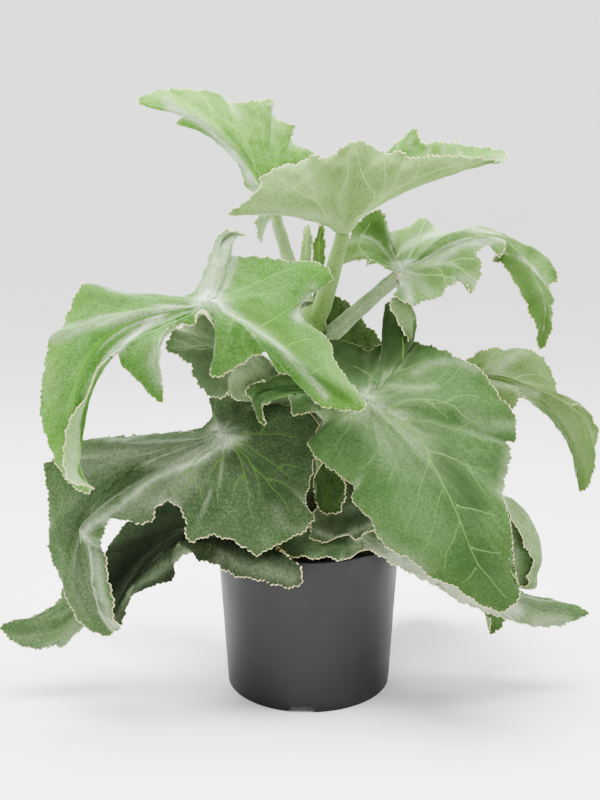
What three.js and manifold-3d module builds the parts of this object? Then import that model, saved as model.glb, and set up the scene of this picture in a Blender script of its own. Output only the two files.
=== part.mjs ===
// A felt bush kalanchoe in a black nursery pot, in millimetres, +Z up, standing on Z = 0.
// The origin is the middle of the pot's base. The plant faces -Y.

import * as THREE from 'three';
import Module from 'manifold-3d';
import { mergeVertices } from 'three/addons/utils/BufferGeometryUtils.js';

const wasm = await Module();
wasm.setup();

// Pot
const potHeight = 161.6;
const potRimRadius = 95;
const potBandRadius = 94;
const potBandHeight = 26.6;
const potBandStep = 1.2;
const potBaseRadius = 85;
const potWall = 2.2;
const potLipWidth = 5;
const potLipRound = 1;
const potFloor = 3;
const potFootHeight = 5;
const potFootWidth = 10;
const potFootBevel = 2;
const potPadRadius = 22;
const potSides = 48;
const notchWidth = 30;
const notchHeight = 8;
const notchBevel = 5;
const notchCount = 4;
const notchDepth = 16;
const notchTurn = -4.5;
const drainHoleRadius = 6;
const drainHoleSides = 10;
const drainHoleCount = 8;
const drainRingRadius = 60;
const bandSlitDepth = 1.2;
const bandSlitWidth = 1.6;
const bandSlitHeight = 39;
const bandSlitTop = 128;
const bandSlitAngle = -16;
const cutSpare = 3;

// Soil and stem
const soilTop = 150;
const soilGap = 0.3;
const soilSides = 32;
const soilEdgeDrop = 3;
const soilRings = [0.9, 0.7, 0.5, 0.3];
const crumbHeight = 2.4;
const stemHoleDepth = 46;
const stemHoleSides = 20;
const stemSides = 12;
const stemRings = 18;
const stemRoute = [
  [0, 0, 106], [0, 0, 152], [-1.5, 0, 205], [1, 0, 260], [3, 0, 320], [4, 0, 372], [4, 0, 404],
];
const stemRadii = [17, 17, 16, 15, 14.5, 13.5, 9];
const stemKnobs = 0.05;
const stemKnobPitch = 17;

// Leaf blades and petioles
const bladeThickness = 1.8;
const steepestSlant = 0.25;
const plateSlack = 300;
const facePitch = 16;
const faceMargin = 8;
const toothReach = 1.6;
const toothPitch = 11;
const hubSpread = 1.1;
const hubSides = 8;
const hubRings = 6;
const petioleSides = 8;
const petioleSteps = 5;
const seatGap = 0.3;
const mergeReach = 1e-4;

// Every leaf point is [across, up, depth]. Across and up are measured on the upright plane through the
// pot's axis, where an eye in front of the plant sees the point, and depth is how far behind (+) or in
// front of (-) that plane the point lies on the same line of sight.
const eye = { y: -1120, z: 550 };

function seenAt([across, up, depth]) {
  const scale = (depth - eye.y) / -eye.y;
  return new THREE.Vector3(across * scale, depth, eye.z + (up - eye.z) * scale);
}

// One entry a leaf. The junction is where the petiole enters the blade. The rim runs round the blade's
// edge, through its lobes and notches. The face points lie on its crests and troughs. A leaf that is
// folded over has a second sheet behind the first, the far one.
const leaves = {
  leafLeftUpper: {
    junction: [-98, 395, -78],
    rim: [
      [-76, 446, -40], [-72, 462, -36], [-61, 465, -42], [-86, 467, -34], [-106, 422, -50],
      [-120, 405, -62], [-160, 408, -56], [-200, 421, -42], [-226, 414, -52], [-247, 369, -72],
      [-258, 361, -78], [-271, 300, -92], [-266, 258, -101], [-252, 221, -110], [-234, 203, -118],
      [-220, 207, -122], [-246, 216, -127], [-250, 248, -124], [-241, 281, -119], [-226, 301, -114],
      [-211, 331, -110], [-190, 347, -104], [-187, 334, -106], [-169, 316, -108], [-156, 301, -108],
      [-146, 301, -107], [-150, 340, -104], [-143, 366, -101], [-130, 376, -98], [-114, 376, -96],
      [-112, 387, -93], [-102, 388, -92], [-90, 362, -94], [-98, 326, -98], [-80, 328, -100],
      [-55, 345, -100], [-35, 350, -98], [-26, 341, -98], [-30, 329, -97], [-9, 321, -98],
      [8, 296, -102], [42, 289, -104], [58, 292, -103], [45, 312, -90], [27, 339, -80],
      [19, 362, -66], [-8, 387, -58], [3, 408, -48], [24, 423, -38], [8, 438, -30], [-28, 441, -32],
      [-73, 445, -37],
    ],
    face: [
      [-84, 420, -58], [-88, 432, -54], [-102, 408, -64], [-148, 403, -70], [-172, 390, -80],
      [-186, 386, -85], [-200, 378, -91], [-207, 369, -95], [-211, 358, -98], [-214, 346, -100],
      [-214, 337, -102], [-212, 331, -104], [-208, 334, -105], [-203, 339, -105],
      [-199, 342, -104.5], [-194, 345, -104], [-172, 362, -101], [-168, 358, -103],
      [-161, 353, -105], [-154, 352, -105], [-149, 356, -104], [-140, 368, -101], [-130, 379, -97],
      [-117, 386, -92], [-107, 388, -89], [-105, 391.5, -86], [-99.5, 391.5, -85], [-94, 382, -90],
      [-93, 368, -97], [-86, 370, -99], [-68, 376, -100], [-57, 367, -103], [-46, 356, -106],
      [-28, 351, -108], [-28, 357, -101], [-32, 372, -88], [-40, 402, -68], [-82, 418, -56],
    ],
    petiole: [[-97, 393, -70], [-60, 374, -42], [-14, 352, -4]],
    petioleRadii: [6.5, 7.5, 9],
    tint: [0.5, 0.68, 0.38],
  },
  leafLeftLower: {
    junction: [-86, 264, -70],
    rim: [
      [-62, 311, -48], [-78, 309, -44], [-100, 302, -46], [-97, 284, -56], [-110, 271, -58],
      [-139, 265, -50], [-182, 270, -46], [-211, 267, -52], [-236, 256, -58], [-262, 237, -62],
      [-271, 232, -64], [-268, 200, -72], [-268, 170, -76], [-271, 138, -80], [-258, 105, -84],
      [-256, 86, -88], [-236, 54, -92], [-215, 44, -96], [-199, 53, -100], [-204, 64, -108],
      [-205, 86, -110], [-210, 105, -110], [-211, 133, -108], [-217, 143, -100], [-231, 163, -104],
      [-214, 177, -108], [-188, 171, -112], [-163, 170, -112], [-158, 184, -110], [-146, 193, -108],
      [-133, 184, -108], [-127, 170, -107], [-124, 150, -108], [-100, 156, -108], [-78, 150, -108],
      [-62, 139, -110], [-52, 133, -110], [-41, 140, -106], [-12, 156, -100], [5, 174, -88],
      [-3, 190, -82], [1, 208, -74], [5, 235, -64], [1, 256, -56], [0, 274, -50], [-15, 283, -48],
      [-42, 297, -46],
    ],
    face: [
      [-74, 288, -60], [-91, 284, -60], [-98, 268, -64], [-135, 258, -66], [-160, 252, -74],
      [-180, 240, -80], [-194, 228, -86], [-203, 217, -90], [-211, 206, -92], [-216, 197, -94],
      [-219, 190, -95], [-222, 184, -96], [-224, 180, -97], [-224, 178, -98.5], [-223, 178, -99.5],
      [-222, 179, -100], [-220, 180, -101], [-217, 183, -102], [-211, 188, -103], [-196, 197, -103],
      [-160, 207, -103], [-120, 218, -99], [-92, 208, -96], [-68, 200, -96], [-50, 208, -90],
      [-44, 230, -80], [-42, 262, -70], [-66, 284, -61],
    ],
    petiole: [[-84, 264, -62], [-50, 255, -36], [-13, 240, -4]],
    petioleRadii: [6.5, 7.5, 9],
    tint: [0.33, 0.43, 0.3],
  },
  leafRightFront: {
    junction: [60, 296, -72],
    rim: [
      [98, 352, -24], [97, 362, -36], [88, 380, -34], [81, 396, -28], [82, 404, -19], [73, 387, -2],
      [77, 360, -6], [68, 355, -12], [58, 350, -14], [48, 357, -12], [20, 361, -14], [-5, 345, -34],
      [-30, 325, -58], [-62, 313, -64], [-56, 296, -62], [-50, 277, -66], [-43, 275, -68],
      [-47, 292, -68], [-41, 296, -68], [-30, 304, -68], [-19, 303, -68], [-16, 284, -76],
      [4, 287, -80], [16, 275, -78], [1, 253, -82], [14, 234, -86], [31, 221, -90], [48, 206, -95],
      [46, 194, -98], [64, 172, -108], [70, 157, -113], [84, 141, -120], [108, 128, -128],
      [130, 108, -135], [150, 100, -140], [175, 82, -146], [200, 71, -150], [214, 77, -149],
      [222, 92, -145], [216, 120, -138], [210, 165, -120], [200, 200, -104], [205, 228, -96],
      [206, 247, -88], [202, 255, -84], [211, 258, -82], [208, 284, -72], [195, 300, -64],
      [172, 331, -48], [150, 343, -38], [125, 354, -30], [106, 359, -26],
    ],
    face: [
      [82, 323, -54], [84, 328, -52], [85, 332, -49], [83, 335, -46], [79, 336, -44], [74, 335, -42],
      [69, 330, -43], [58, 325, -46], [42, 325, -50], [5, 322, -64], [0, 316, -68], [-8, 313, -71],
      [-10, 311, -72], [-9, 309.5, -73], [-8, 308.5, -73.5], [-2, 307, -74], [4, 306, -75],
      [12, 304, -77], [22, 297, -81], [30, 292, -84], [30, 274, -88], [60, 245, -100],
      [88, 215, -112], [133, 210, -124], [140, 214, -120], [137, 245, -100], [135, 275, -88],
      [137, 292, -84], [118, 315, -64], [86, 326, -54],
    ],
    petiole: [[59, 297, -64], [38, 300, -40], [14, 294, -6]],
    petioleRadii: [7, 8, 9.5],
    tint: [0.42, 0.55, 0.36],
  },
  leafRightUpper: {
    junction: [93, 427, -8],
    rim: [
      [91, 423, -10], [90, 412, -16], [84, 405, -20], [104, 396, -30], [118, 401, -36],
      [131, 403, -40], [137, 413, -40], [150, 419, -40], [157, 414, -42], [161, 407, -44],
      [168, 420, -40], [170, 434, -36], [166, 447, -30], [176, 455, -26], [187, 446, -26],
      [192, 434, -14], [213, 401, -20], [226, 372, -24], [230, 351, -26], [240, 362, -22],
      [243, 378, -18], [241, 392, -14], [244, 400, -12], [238, 413, -8], [246, 423, -4],
      [237, 440, 2], [220, 448, 8], [196, 463, 14], [170, 472, 22], [148, 468, 28], [130, 469, 34],
      [112, 482, 36], [97, 474, 30], [79, 468, 20], [76, 477, 20], [69, 490, 18], [50, 480, 16],
      [38, 460, 10], [34, 449, 2], [33, 438, -4], [54, 441, -6], [57, 434, -8], [61, 441, -8],
      [74, 433, -8], [89, 427, -8],
    ],
    face: [
      [92, 425, -9], [92, 416, -13], [104, 418, -22], [122, 428, -30], [132, 438, -30],
      [130, 447, -28], [160, 462, -9], [163, 463, -7], [166, 464, -4], [166, 465, 0], [155, 465, 4],
      [120, 458, 12], [105, 458, 14], [87, 449, 6], [82, 452, 8], [68, 450, 2], [72, 438, -6],
      [91, 427, -8],
    ],
    petiole: [[90, 426, -4], [55, 396, 0], [18, 362, 0]],
    petioleRadii: [6.8, 7.6, 9],
    tint: [0.48, 0.6, 0.42],
  },
  leafTopFront: {
    junction: [34, 471, -30],
    rim: [
      [34, 470, -30], [60, 487, -34], [82, 502, -37], [104, 512, -38], [150, 527, -37],
      [191, 536, -36], [165, 539, -40], [130, 542, -44], [98, 540, -46], [92, 543, -46],
      [72, 545, -46], [53, 554, -46], [38, 552, -44], [20, 539, -44], [4, 541, -42], [-8, 534, -40],
      [-28, 530, -44], [-44, 521, -48], [-46, 513, -50], [-60, 499, -54], [-78, 484, -56],
      [-50, 484, -50], [-17, 482, -42], [18, 473, -34],
    ],
    face: [
      [-20, 493, -47], [-4, 495, -46], [14, 502, -44], [36, 512, -48], [52, 506, -50],
      [78, 508, -46], [110, 520, -42], [34, 490, -40],
    ],
    farRim: [
      [32, 472, -26], [60, 490, -18], [82, 502, -8], [93, 489, -2], [99, 502, -4], [120, 514, -14],
      [160, 529, -26], [192, 537, -34], [187, 546, -18], [160, 549, -10], [131, 554, -4],
      [109, 553, 0], [104, 567, 6], [99, 558, 4], [84, 552, 8], [60, 535, 18], [20, 520, 26],
      [-20, 508, 24], [-50, 484, 14], [-46, 458, 8], [-33, 480, 8], [4, 485, -8],
    ],
    farFace: [[60, 510, 2], [100, 530, -2], [140, 538, -14], [8, 495, 6]],
    petiole: [[34, 468, -28], [24, 430, -16], [14, 398, -8], [4, 376, 0]],
    petioleRadii: [6.5, 8, 9.5, 11],
    tint: [0.45, 0.58, 0.38],
  },
  leafTopLeft: {
    junction: [-38, 500, 30],
    rim: [
      [-15, 500, 35], [10, 525, 40], [8, 542, 40], [-12, 552, 38], [-17, 560, 36], [-13, 569, 36],
      [-30, 575, 32], [-40, 586, 28], [-33, 593, 30], [-55, 592, 24], [-75, 590, 20], [-90, 600, 16],
      [-120, 603, 8], [-146, 601, 2], [-161, 594, -4], [-158, 587, -6], [-140, 591, 2],
      [-120, 580, 6], [-126, 570, 6], [-106, 573, 10], [-86, 550, 14], [-72, 546, 16],
      [-64, 517, 20], [-56, 507, 22], [-45, 495, 24],
    ],
    face: [
      [-28, 500, 34], [-18, 525, 34], [-28, 538, 28], [-40, 545, 22], [-62, 552, 12], [-70, 556, 8],
      [-79, 561, 5], [-86, 563, 2], [-87, 560, 2], [-84, 556, 4], [-78, 550, 6], [-76, 546, 7],
      [-70, 538, 9], [-62, 527, 13], [-56, 520, 16], [-50, 511, 20], [-46, 506, 24], [-42, 499, 28],
    ],
    petiole: [[-36, 496, 32], [-24, 455, 22], [-2, 378, 4]],
    petioleRadii: [5.8, 6.5, 8],
    tint: [0.52, 0.66, 0.4],
  },
  leafBehindLeft: {
    junction: [-62, 348, -40],
    rim: [
      [-62, 361, -24], [-100, 376, -40], [-125, 375, -52], [-135, 370, -58], [-143, 352, -64],
      [-134, 347, -66], [-118, 335, -70], [-115, 322, -72], [-100, 304, -74], [-88, 302, -74],
      [-82, 306, -74], [-80, 326, -66], [-60, 318, -52], [-40, 319, -44], [-34, 334, -44],
    ],
    face: [
      [-61, 356, -36], [-98, 358, -54], [-95, 344, -64], [-82, 328, -66], [-72, 335, -58],
      [-50, 341, -42],
    ],
    petiole: [[-61, 347, -36], [-40, 334, -20], [-13, 318, -2]],
    petioleRadii: [5, 5.5, 7],
    tint: [0.33, 0.4, 0.3],
  },
  leafLowLeft: {
    junction: [-75, 172, -60],
    rim: [
      [-60, 184, -40], [-110, 195, -26], [-150, 206, -20], [-175, 190, -25], [-187, 171, -30],
      [-206, 148, -40], [-212, 136, -48], [-222, 100, -60], [-212, 70, -72], [-198, 57, -80],
      [-186, 88, -78], [-174, 95, -78], [-160, 102, -80], [-141, 107, -82], [-139, 124, -84],
      [-123, 136, -88], [-114, 128, -94], [-100, 125, -98], [-76, 112, -106], [-47, 105, -111],
      [-19, 98, -115], [-7, 104, -116], [-8, 118, -112], [-26, 137, -100], [-36, 144, -92],
      [-44, 166, -78],
    ],
    face: [
      [-70, 180, -52], [-122, 182, -46], [-142, 165, -56], [-150, 148, -70], [-128, 152, -82],
      [-103, 152, -86], [-80, 148, -92], [-55, 142, -97], [-56, 156, -84], [-60, 170, -70],
    ],
    petiole: [[-73, 173, -54], [-45, 187, -34], [-14, 205, -5]],
    petioleRadii: [6, 7, 8.5],
    tint: [0.25, 0.33, 0.2],
  },
  leafFarLeft: {
    junction: [-225, 105, -22],
    rim: [
      [-235, 140, -12], [-254, 118, -14], [-261, 86, -22], [-284, 70, -28], [-300, 63, -32],
      [-318, 60, -38], [-325, 53, -42], [-319, 42, -44], [-308, 33, -46], [-286, 28, -46],
      [-270, 32, -44], [-261, 31, -44], [-240, 50, -40], [-222, 62, -36], [-212, 88, -30],
    ],
    face: [
      [-230, 122, -16], [-240, 110, -18], [-244, 93, -22], [-252, 84, -24], [-258, 76, -26],
      [-263, 68, -28], [-265, 62, -30], [-264, 56, -32], [-254, 56, -32], [-243, 60, -32],
      [-224, 80, -30], [-219, 96, -26],
    ],
    petiole: [[-224, 106, -16], [-150, 150, 4], [-90, 178, 12], [-12, 186, 8]],
    petioleRadii: [5.5, 6.5, 7.5, 8.5],
    tint: [0.38, 0.47, 0.36],
  },
  leafRightLow: {
    junction: [45, 162, -55],
    rim: [
      [22, 170, -50], [-15, 160, -64], [-31, 147, -80], [-26, 137, -89], [-14, 132, -95],
      [-4, 133, -96], [5, 129, -98], [16, 133, -96], [25, 132, -95], [33, 128, -93], [45, 132, -87],
      [53, 138, -82], [66, 139, -76], [90, 123, -74], [130, 102, -70], [160, 82, -64],
      [183, 72, -60], [205, 64, -56], [230, 56, -52], [255, 54, -48], [280, 60, -44], [294, 67, -42],
      [293, 73, -40], [283, 77, -38], [268, 80, -34], [252, 86, -30], [239, 85, -28], [222, 94, -26],
      [205, 100, -20], [180, 105, -18], [150, 119, -14], [120, 136, -10], [92, 163, -14],
      [50, 178, -26],
    ],
    face: [
      [34, 166, -52], [8, 154, -70], [22, 146, -80], [48, 148, -70], [75, 142, -68], [125, 116, -66],
      [160, 102, -58], [170, 100, -54], [160, 108, -44], [142, 120, -36], [100, 150, -30],
      [82, 160, -30], [48, 170, -40],
    ],
    petiole: [[44, 164, -50], [28, 176, -32], [13, 188, -6]],
    petioleRadii: [6, 7, 8.5],
    tint: [0.33, 0.44, 0.27],
  },
  leafRightBehind: {
    junction: [150, 170, 10],
    rim: [
      [135, 135, 6], [165, 110, 2], [190, 80, 0], [192, 46, -4], [208, 60, -4], [212, 92, -2],
      [232, 103, -6], [229, 111, -6], [235, 125, -4], [223, 147, 0], [221, 155, 4], [214, 166, 8],
      [207, 179, 14], [204, 192, 24], [190, 215, 30], [165, 225, 34], [140, 200, 28],
    ],
    face: [
      [143, 153, 8], [158, 138, 5], [174, 112, 2], [190, 120, 0], [198, 142, 0], [196, 158, 2],
      [188, 172, 8], [176, 184, 18], [164, 192, 24], [146, 184, 20],
    ],
    petiole: [[148, 172, 12], [85, 202, 6], [14, 216, 2]],
    petioleRadii: [5.5, 6.5, 8],
    tint: [0.28, 0.36, 0.24],
  },
  leafRightMiddle: {
    junction: [150, 325, 4],
    rim: [
      [165, 300, -15], [186, 301, -22], [207, 290, -24], [213, 303, -18], [225, 296, 4],
      [250, 273, 0], [268, 245, -4], [276, 215, -8], [279, 202, -12], [288, 210, -14],
      [293, 232, -14], [291, 250, -12], [295, 267, -12], [280, 291, -14], [266, 294, -16],
      [254, 300, -6], [245, 328, 14], [231, 347, 26], [214, 353, 32], [199, 350, 32], [184, 353, 32],
      [170, 348, 26], [157, 340, 18], [143, 332, 8],
    ],
    face: [
      [158, 312, -6], [182, 312, -18], [190, 314, -17], [200, 314, -14], [212, 311, -12],
      [217, 310.5, -12], [221, 310, -12], [224, 310, -12], [227, 310.5, -12], [229, 311, -12],
      [230, 311.5, -12], [230, 312.5, -12], [228, 314, -11], [224, 315.5, -9], [218, 317, -5],
      [208, 325, 6], [196, 334, 14], [170, 338, 16], [147, 328, 6],
    ],
    petiole: [[148, 326, 6], [80, 336, 6], [14, 330, 2]],
    petioleRadii: [5.5, 6.5, 8.5],
    tint: [0.4, 0.48, 0.36],
  },
  leafCentreSmall: {
    junction: [9, 240, -30],
    rim: [
      [6, 215, -42], [8, 190, -52], [14, 181, -58], [22, 178, -61], [33, 184, -62], [38, 200, -60],
      [36, 216, -56], [30, 226, -48], [18, 236, -40], [14, 243, -31], [6, 242, -29], [3, 228, -36],
    ],
    face: [[8, 228, -36], [16, 210, -50], [26, 214, -52], [14, 238, -35]],
    petiole: [[9, 241, -28], [11, 246, -22], [10, 250, -14]],
    petioleRadii: [3, 3.5, 4],
    tint: [0.22, 0.32, 0.16],
  },
  leafCentreLow: {
    junction: [30, 200, -36],
    rim: [
      [14, 192, -38], [4, 178, -50], [2, 157, -70], [10, 150, -80], [20, 149, -82], [33, 154, -80],
      [42, 155, -78], [50, 152, -76], [60, 158, -70], [74, 166, -60], [80, 190, -45], [60, 212, -34],
      [42, 216, -32], [32, 213, -32],
    ],
    face: [
      [20, 194, -38], [14, 176, -48], [24, 170, -56], [42, 172, -58], [58, 190, -46], [32, 206, -34],
    ],
    petiole: [[29, 200, -32], [22, 202, -24], [14, 204, -8]],
    petioleRadii: [4, 5, 6],
    tint: [0.33, 0.38, 0.3],
  },
  leafBehindStem: {
    junction: [38, 335, 45],
    rim: [
      [22, 352, 42], [16, 380, 46], [22, 403, 48], [33, 403, 48], [44, 396, 50], [56, 379, 52],
      [66, 369, 54], [77, 356, 58], [95, 340, 70], [110, 310, 85], [95, 285, 95], [70, 275, 92],
      [45, 280, 80], [25, 300, 62], [18, 325, 50],
    ],
    face: [
      [30, 344, 43], [34, 370, 44], [52, 352, 50], [75, 322, 65], [42, 308, 62], [28, 330, 47],
    ],
    petiole: [[38, 334, 42], [22, 320, 22], [8, 312, 6]],
    petioleRadii: [5, 6, 7.5],
    tint: [0.24, 0.32, 0.18],
  },
  leafBackRight: {
    junction: [60, 262, 55],
    rim: [
      [40, 285, 50], [20, 250, 70], [30, 205, 100], [55, 172, 125], [90, 140, 145], [120, 125, 152],
      [135, 150, 142], [165, 165, 128], [180, 205, 112], [175, 245, 96], [150, 275, 80],
      [115, 300, 66], [80, 300, 56],
    ],
    face: [[50, 275, 52], [58, 226, 94], [92, 196, 114], [125, 228, 92], [71, 283, 55]],
    petiole: [[58, 263, 50], [30, 262, 28], [10, 262, 6]],
    petioleRadii: [6, 6.8, 8.5],
    tint: [0.4, 0.5, 0.36],
  },
  leafBackLeft: {
    junction: [-60, 235, 55],
    rim: [
      [-45, 260, 50], [-80, 262, 62], [-130, 258, 85], [-180, 255, 110], [-215, 235, 130],
      [-225, 212, 140], [-190, 202, 135], [-150, 207, 125], [-110, 190, 115], [-70, 190, 96],
      [-30, 196, 75], [-15, 210, 62], [-32, 240, 52],
    ],
    face: [
      [-52, 248, 52], [-120, 247, 85], [-140, 224, 104], [-90, 210, 88], [-38, 217, 62],
      [-46, 238, 54],
    ],
    petiole: [[-58, 236, 50], [-30, 232, 28], [-8, 228, 6]],
    petioleRadii: [6, 6.8, 8.5],
    tint: [0.4, 0.5, 0.36],
  },
  leafYoungLeft: {
    junction: [-2, 425, -2],
    rim: [
      [-5, 424, -2], [-9, 432, 0], [-9, 445, 0], [-5, 466, -3], [-1, 477, -4], [2, 468, 0],
      [3, 455, 1], [2, 438, 1], [1, 424, -1],
    ],
    face: [[-5, 429, -2], [-2, 452, -6], [0, 431, 0]],
    petiole: [[-2, 426, -2], [-1, 414, -1], [1, 400, 0]],
    petioleRadii: [2.8, 3, 3.4],
    tint: [0.52, 0.6, 0.48],
  },
  leafYoungRight: {
    junction: [10, 425, 7],
    rim: [
      [7, 424, 7], [5, 432, 8], [4, 446, 9], [5, 458, 10], [12, 476, 12], [15, 474, 12],
      [16, 452, 10], [15, 434, 9], [13, 424, 7],
    ],
    face: [[7, 429, 7], [10, 450, 9], [12, 430, 8]],
    petiole: [[10, 426, 7], [9, 414, 6], [7, 400, 3]],
    petioleRadii: [2.6, 2.9, 3.2],
    tint: [0.5, 0.6, 0.44],
  },
};

function range(count) {
  return Array.from({ length: count }, (_, i) => i);
}

// A smooth value at x through the values at the knots, with a tangent at each knot from its neighbours.
function smoothThrough(knots, values, x) {
  const last = knots.length - 1;
  const slope = (i) => values[i + 1].clone().sub(values[i]).divideScalar(knots[i + 1] - knots[i]);
  const inner = (i) => {
    const before = knots[i] - knots[i - 1];
    const after = knots[i + 1] - knots[i];
    return slope(i - 1).multiplyScalar(after).addScaledVector(slope(i), before).divideScalar(before + after);
  };
  const tangent = (i) => {
    if (i === 0) return slope(0).multiplyScalar(1.5).addScaledVector(inner(1), -0.5);
    if (i === last) return slope(last - 1).multiplyScalar(1.5).addScaledVector(inner(last - 1), -0.5);
    return inner(i);
  };
  let i = 0;
  while (i < last - 1 && x >= knots[i + 1]) i += 1;
  const width = knots[i + 1] - knots[i];
  const u = (x - knots[i]) / width;
  const fromEnd = u * u * (3 - 2 * u);
  return values[i].clone().multiplyScalar(1 - fromEnd)
    .addScaledVector(values[i + 1], fromEnd)
    .addScaledVector(tangent(i), width * u * (1 - u) * (1 - u))
    .addScaledVector(tangent(i + 1), -width * u * u * (1 - u));
}

// A geometry from a list of points and a list of triangles, turned to face out.
function closedGeometry(points, triangles) {
  let volume = 0;
  for (const [a, b, c] of triangles) {
    volume += points[a].dot(points[b].clone().cross(points[c]));
  }
  const facing = volume > 0 ? triangles : triangles.map(([a, b, c]) => [a, c, b]);
  const geometry = new THREE.BufferGeometry();
  geometry.setAttribute('position', new THREE.Float32BufferAttribute(points.flatMap((p) => p.toArray()), 3));
  geometry.setIndex(facing.flat());
  return geometry;
}

// Solids for the cuts and joins.
function toSolid(geometry) {
  const bare = geometry.clone();
  bare.deleteAttribute('normal');
  bare.deleteAttribute('uv');
  const merged = mergeVertices(bare, mergeReach);
  return new wasm.Manifold(new wasm.Mesh({
    numProp: 3,
    vertProperties: new Float32Array(merged.attributes.position.array),
    triVerts: new Uint32Array(merged.index.array),
  }));
}

function fromSolid(solid) {
  const mesh = solid.getMesh();
  const geometry = new THREE.BufferGeometry();
  geometry.setAttribute('position', new THREE.BufferAttribute(new Float32Array(mesh.vertProperties), 3));
  geometry.setIndex(Array.from(mesh.triVerts));
  return geometry;
}

// Only the largest body, without any chip that a cut left loose.
function mainBody(solid) {
  return solid.decompose().sort((a, b) => b.volume() - a.volume())[0];
}

// A round bar along a route, with its own radius at each route point and a cap at each end. The radius
// may swell and shrink along it by `ripple(distance)`.
function taperedBar(route, radii, sides, steps, ripple = () => 1) {
  const knots = range(route.length);
  const widths = radii.map((r) => new THREE.Vector3(r, 0, 0));
  const centres = range(steps + 1).map((i) => smoothThrough(knots, route, (i / steps) * (route.length - 1)));
  const points = [];
  const triangles = [];
  let across = new THREE.Vector3(0, 1, 0);
  let distance = 0;
  centres.forEach((centre, i) => {
    const before = centres[Math.max(i - 1, 0)];
    const after = centres[Math.min(i + 1, steps)];
    const along = after.clone().sub(before).normalize();
    across = across.addScaledVector(along, -across.dot(along)).normalize();
    const side = along.clone().cross(across);
    distance += centre.distanceTo(before);
    const radius = smoothThrough(knots, widths, (i / steps) * (route.length - 1)).x * ripple(distance);
    for (const k of range(sides)) {
      const turn = (2 * Math.PI * k) / sides;
      points.push(centre.clone()
        .addScaledVector(across, radius * Math.cos(turn))
        .addScaledVector(side, radius * Math.sin(turn)));
    }
  });
  for (const i of range(steps)) {
    for (const k of range(sides)) {
      const next = (k + 1) % sides;
      const [a, b] = [i * sides + k, i * sides + next];
      triangles.push([a, b, b + sides], [a, b + sides, a + sides]);
    }
  }
  const [first, last] = [points.push(centres[0]) - 1, points.push(centres[steps]) - 1];
  for (const k of range(sides)) {
    const next = (k + 1) % sides;
    triangles.push([first, next, k], [last, steps * sides + k, steps * sides + next]);
  }
  return closedGeometry(points, triangles);
}

// Solves a square set of linear equations, one a row, with the known side as each row's last value.
function solveRows(rows) {
  const count = rows.length;
  for (const k of range(count)) {
    const size = (i) => Math.abs(rows[i][k]);
    const best = range(count).slice(k).reduce((a, b) => (size(b) > size(a) ? b : a));
    [rows[k], rows[best]] = [rows[best], rows[k]];
    for (const row of rows.slice(k + 1)) {
      const share = row[k] / rows[k][k];
      for (let j = k; j <= count; j += 1) row[j] -= share * rows[k][j];
    }
  }
  const found = Array(count).fill(0);
  for (const k of range(count).reverse()) {
    const known = found.reduce((sum, value, j) => sum + value * rows[k][j], 0);
    found[k] = (rows[k][count] - known) / rows[k][k];
  }
  return found;
}

// The depth at any place in the view, bent like a thin plate past scattered places of known depth.
function plateThrough(spots) {
  const bend = (p, q) => {
    const square = (p.x - q.x) ** 2 + (p.y - q.y) ** 2;
    return square > 0 ? square * Math.log(square) : 0;
  };
  const slack = (i, j) => (i === j ? plateSlack : 0);
  const rows = [
    ...spots.map((p, i) => [...spots.map((q, j) => bend(p, q) + slack(i, j)), 1, p.x, p.y, p.z]),
    [...spots.map(() => 1), 0, 0, 0, 0],
    [...spots.map((q) => q.x), 0, 0, 0, 0],
    [...spots.map((q) => q.y), 0, 0, 0, 0],
  ];
  const pulls = solveRows(rows);
  const [level, acrossTilt, upTilt] = pulls.slice(-3);
  return (p) => {
    const flat = level + acrossTilt * p.x + upTilt * p.y;
    return spots.reduce((sum, q, j) => sum + pulls[j] * bend(p, q), flat);
  };
}

// The blade's edge in steps, anticlockwise as the eye sees it, with a small tooth at every other step.
function toothedRim(rim) {
  const corners = rim.map((p) => new THREE.Vector3(...p));
  const turn = THREE.ShapeUtils.area(corners) < 0 ? -1 : 1;
  const curve = new THREE.CatmullRomCurve3(corners, true);
  const steps = corners.flatMap((corner, i) => {
    const next = corners[(i + 1) % corners.length];
    const count = Math.max(1, Math.round(Math.hypot(next.x - corner.x, next.y - corner.y) / toothPitch));
    return range(count).map((k) => {
      const place = (i + k / count) / corners.length;
      const along = curve.getTangent(place);
      const out = new THREE.Vector3(along.y, -along.x, 0).normalize();
      return curve.getPoint(place).addScaledVector(out, k % 2 ? turn * toothReach : 0);
    });
  });
  return turn < 0 ? steps.reverse() : steps;
}

// How far a place in the view is from the outline, or less than zero where it is outside.
function depthInside(outline, x, y) {
  let nearest = Infinity;
  let inside = false;
  outline.forEach((a, i) => {
    const b = outline[(i + 1) % outline.length];
    const [dx, dy] = [b.x - a.x, b.y - a.y];
    const share = THREE.MathUtils.clamp(((x - a.x) * dx + (y - a.y) * dy) / (dx * dx + dy * dy), 0, 1);
    nearest = Math.min(nearest, Math.hypot(a.x + share * dx - x, a.y + share * dy - y));
    if (a.y > y !== b.y > y && x < a.x + ((y - a.y) / dy) * dx) inside = !inside;
  });
  return inside ? nearest : -nearest;
}

// Inner points on a staggered grid, clear of the outline.
function innerPoints(outline) {
  const box = new THREE.Box2().setFromPoints(outline.map((p) => new THREE.Vector2(p.x, p.y)));
  const rise = facePitch * Math.sqrt(0.75);
  const rows = range(Math.ceil((box.max.y - box.min.y) / rise) + 1);
  const columns = range(Math.ceil((box.max.x - box.min.x) / facePitch) + 2);
  return rows.flatMap((r) => columns.map((c) => (
    new THREE.Vector3(box.min.x + (c - (r % 2) / 2) * facePitch, box.min.y + r * rise, 0)
  ))).filter((p) => depthInside(outline, p.x, p.y) > faceMargin);
}

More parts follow.
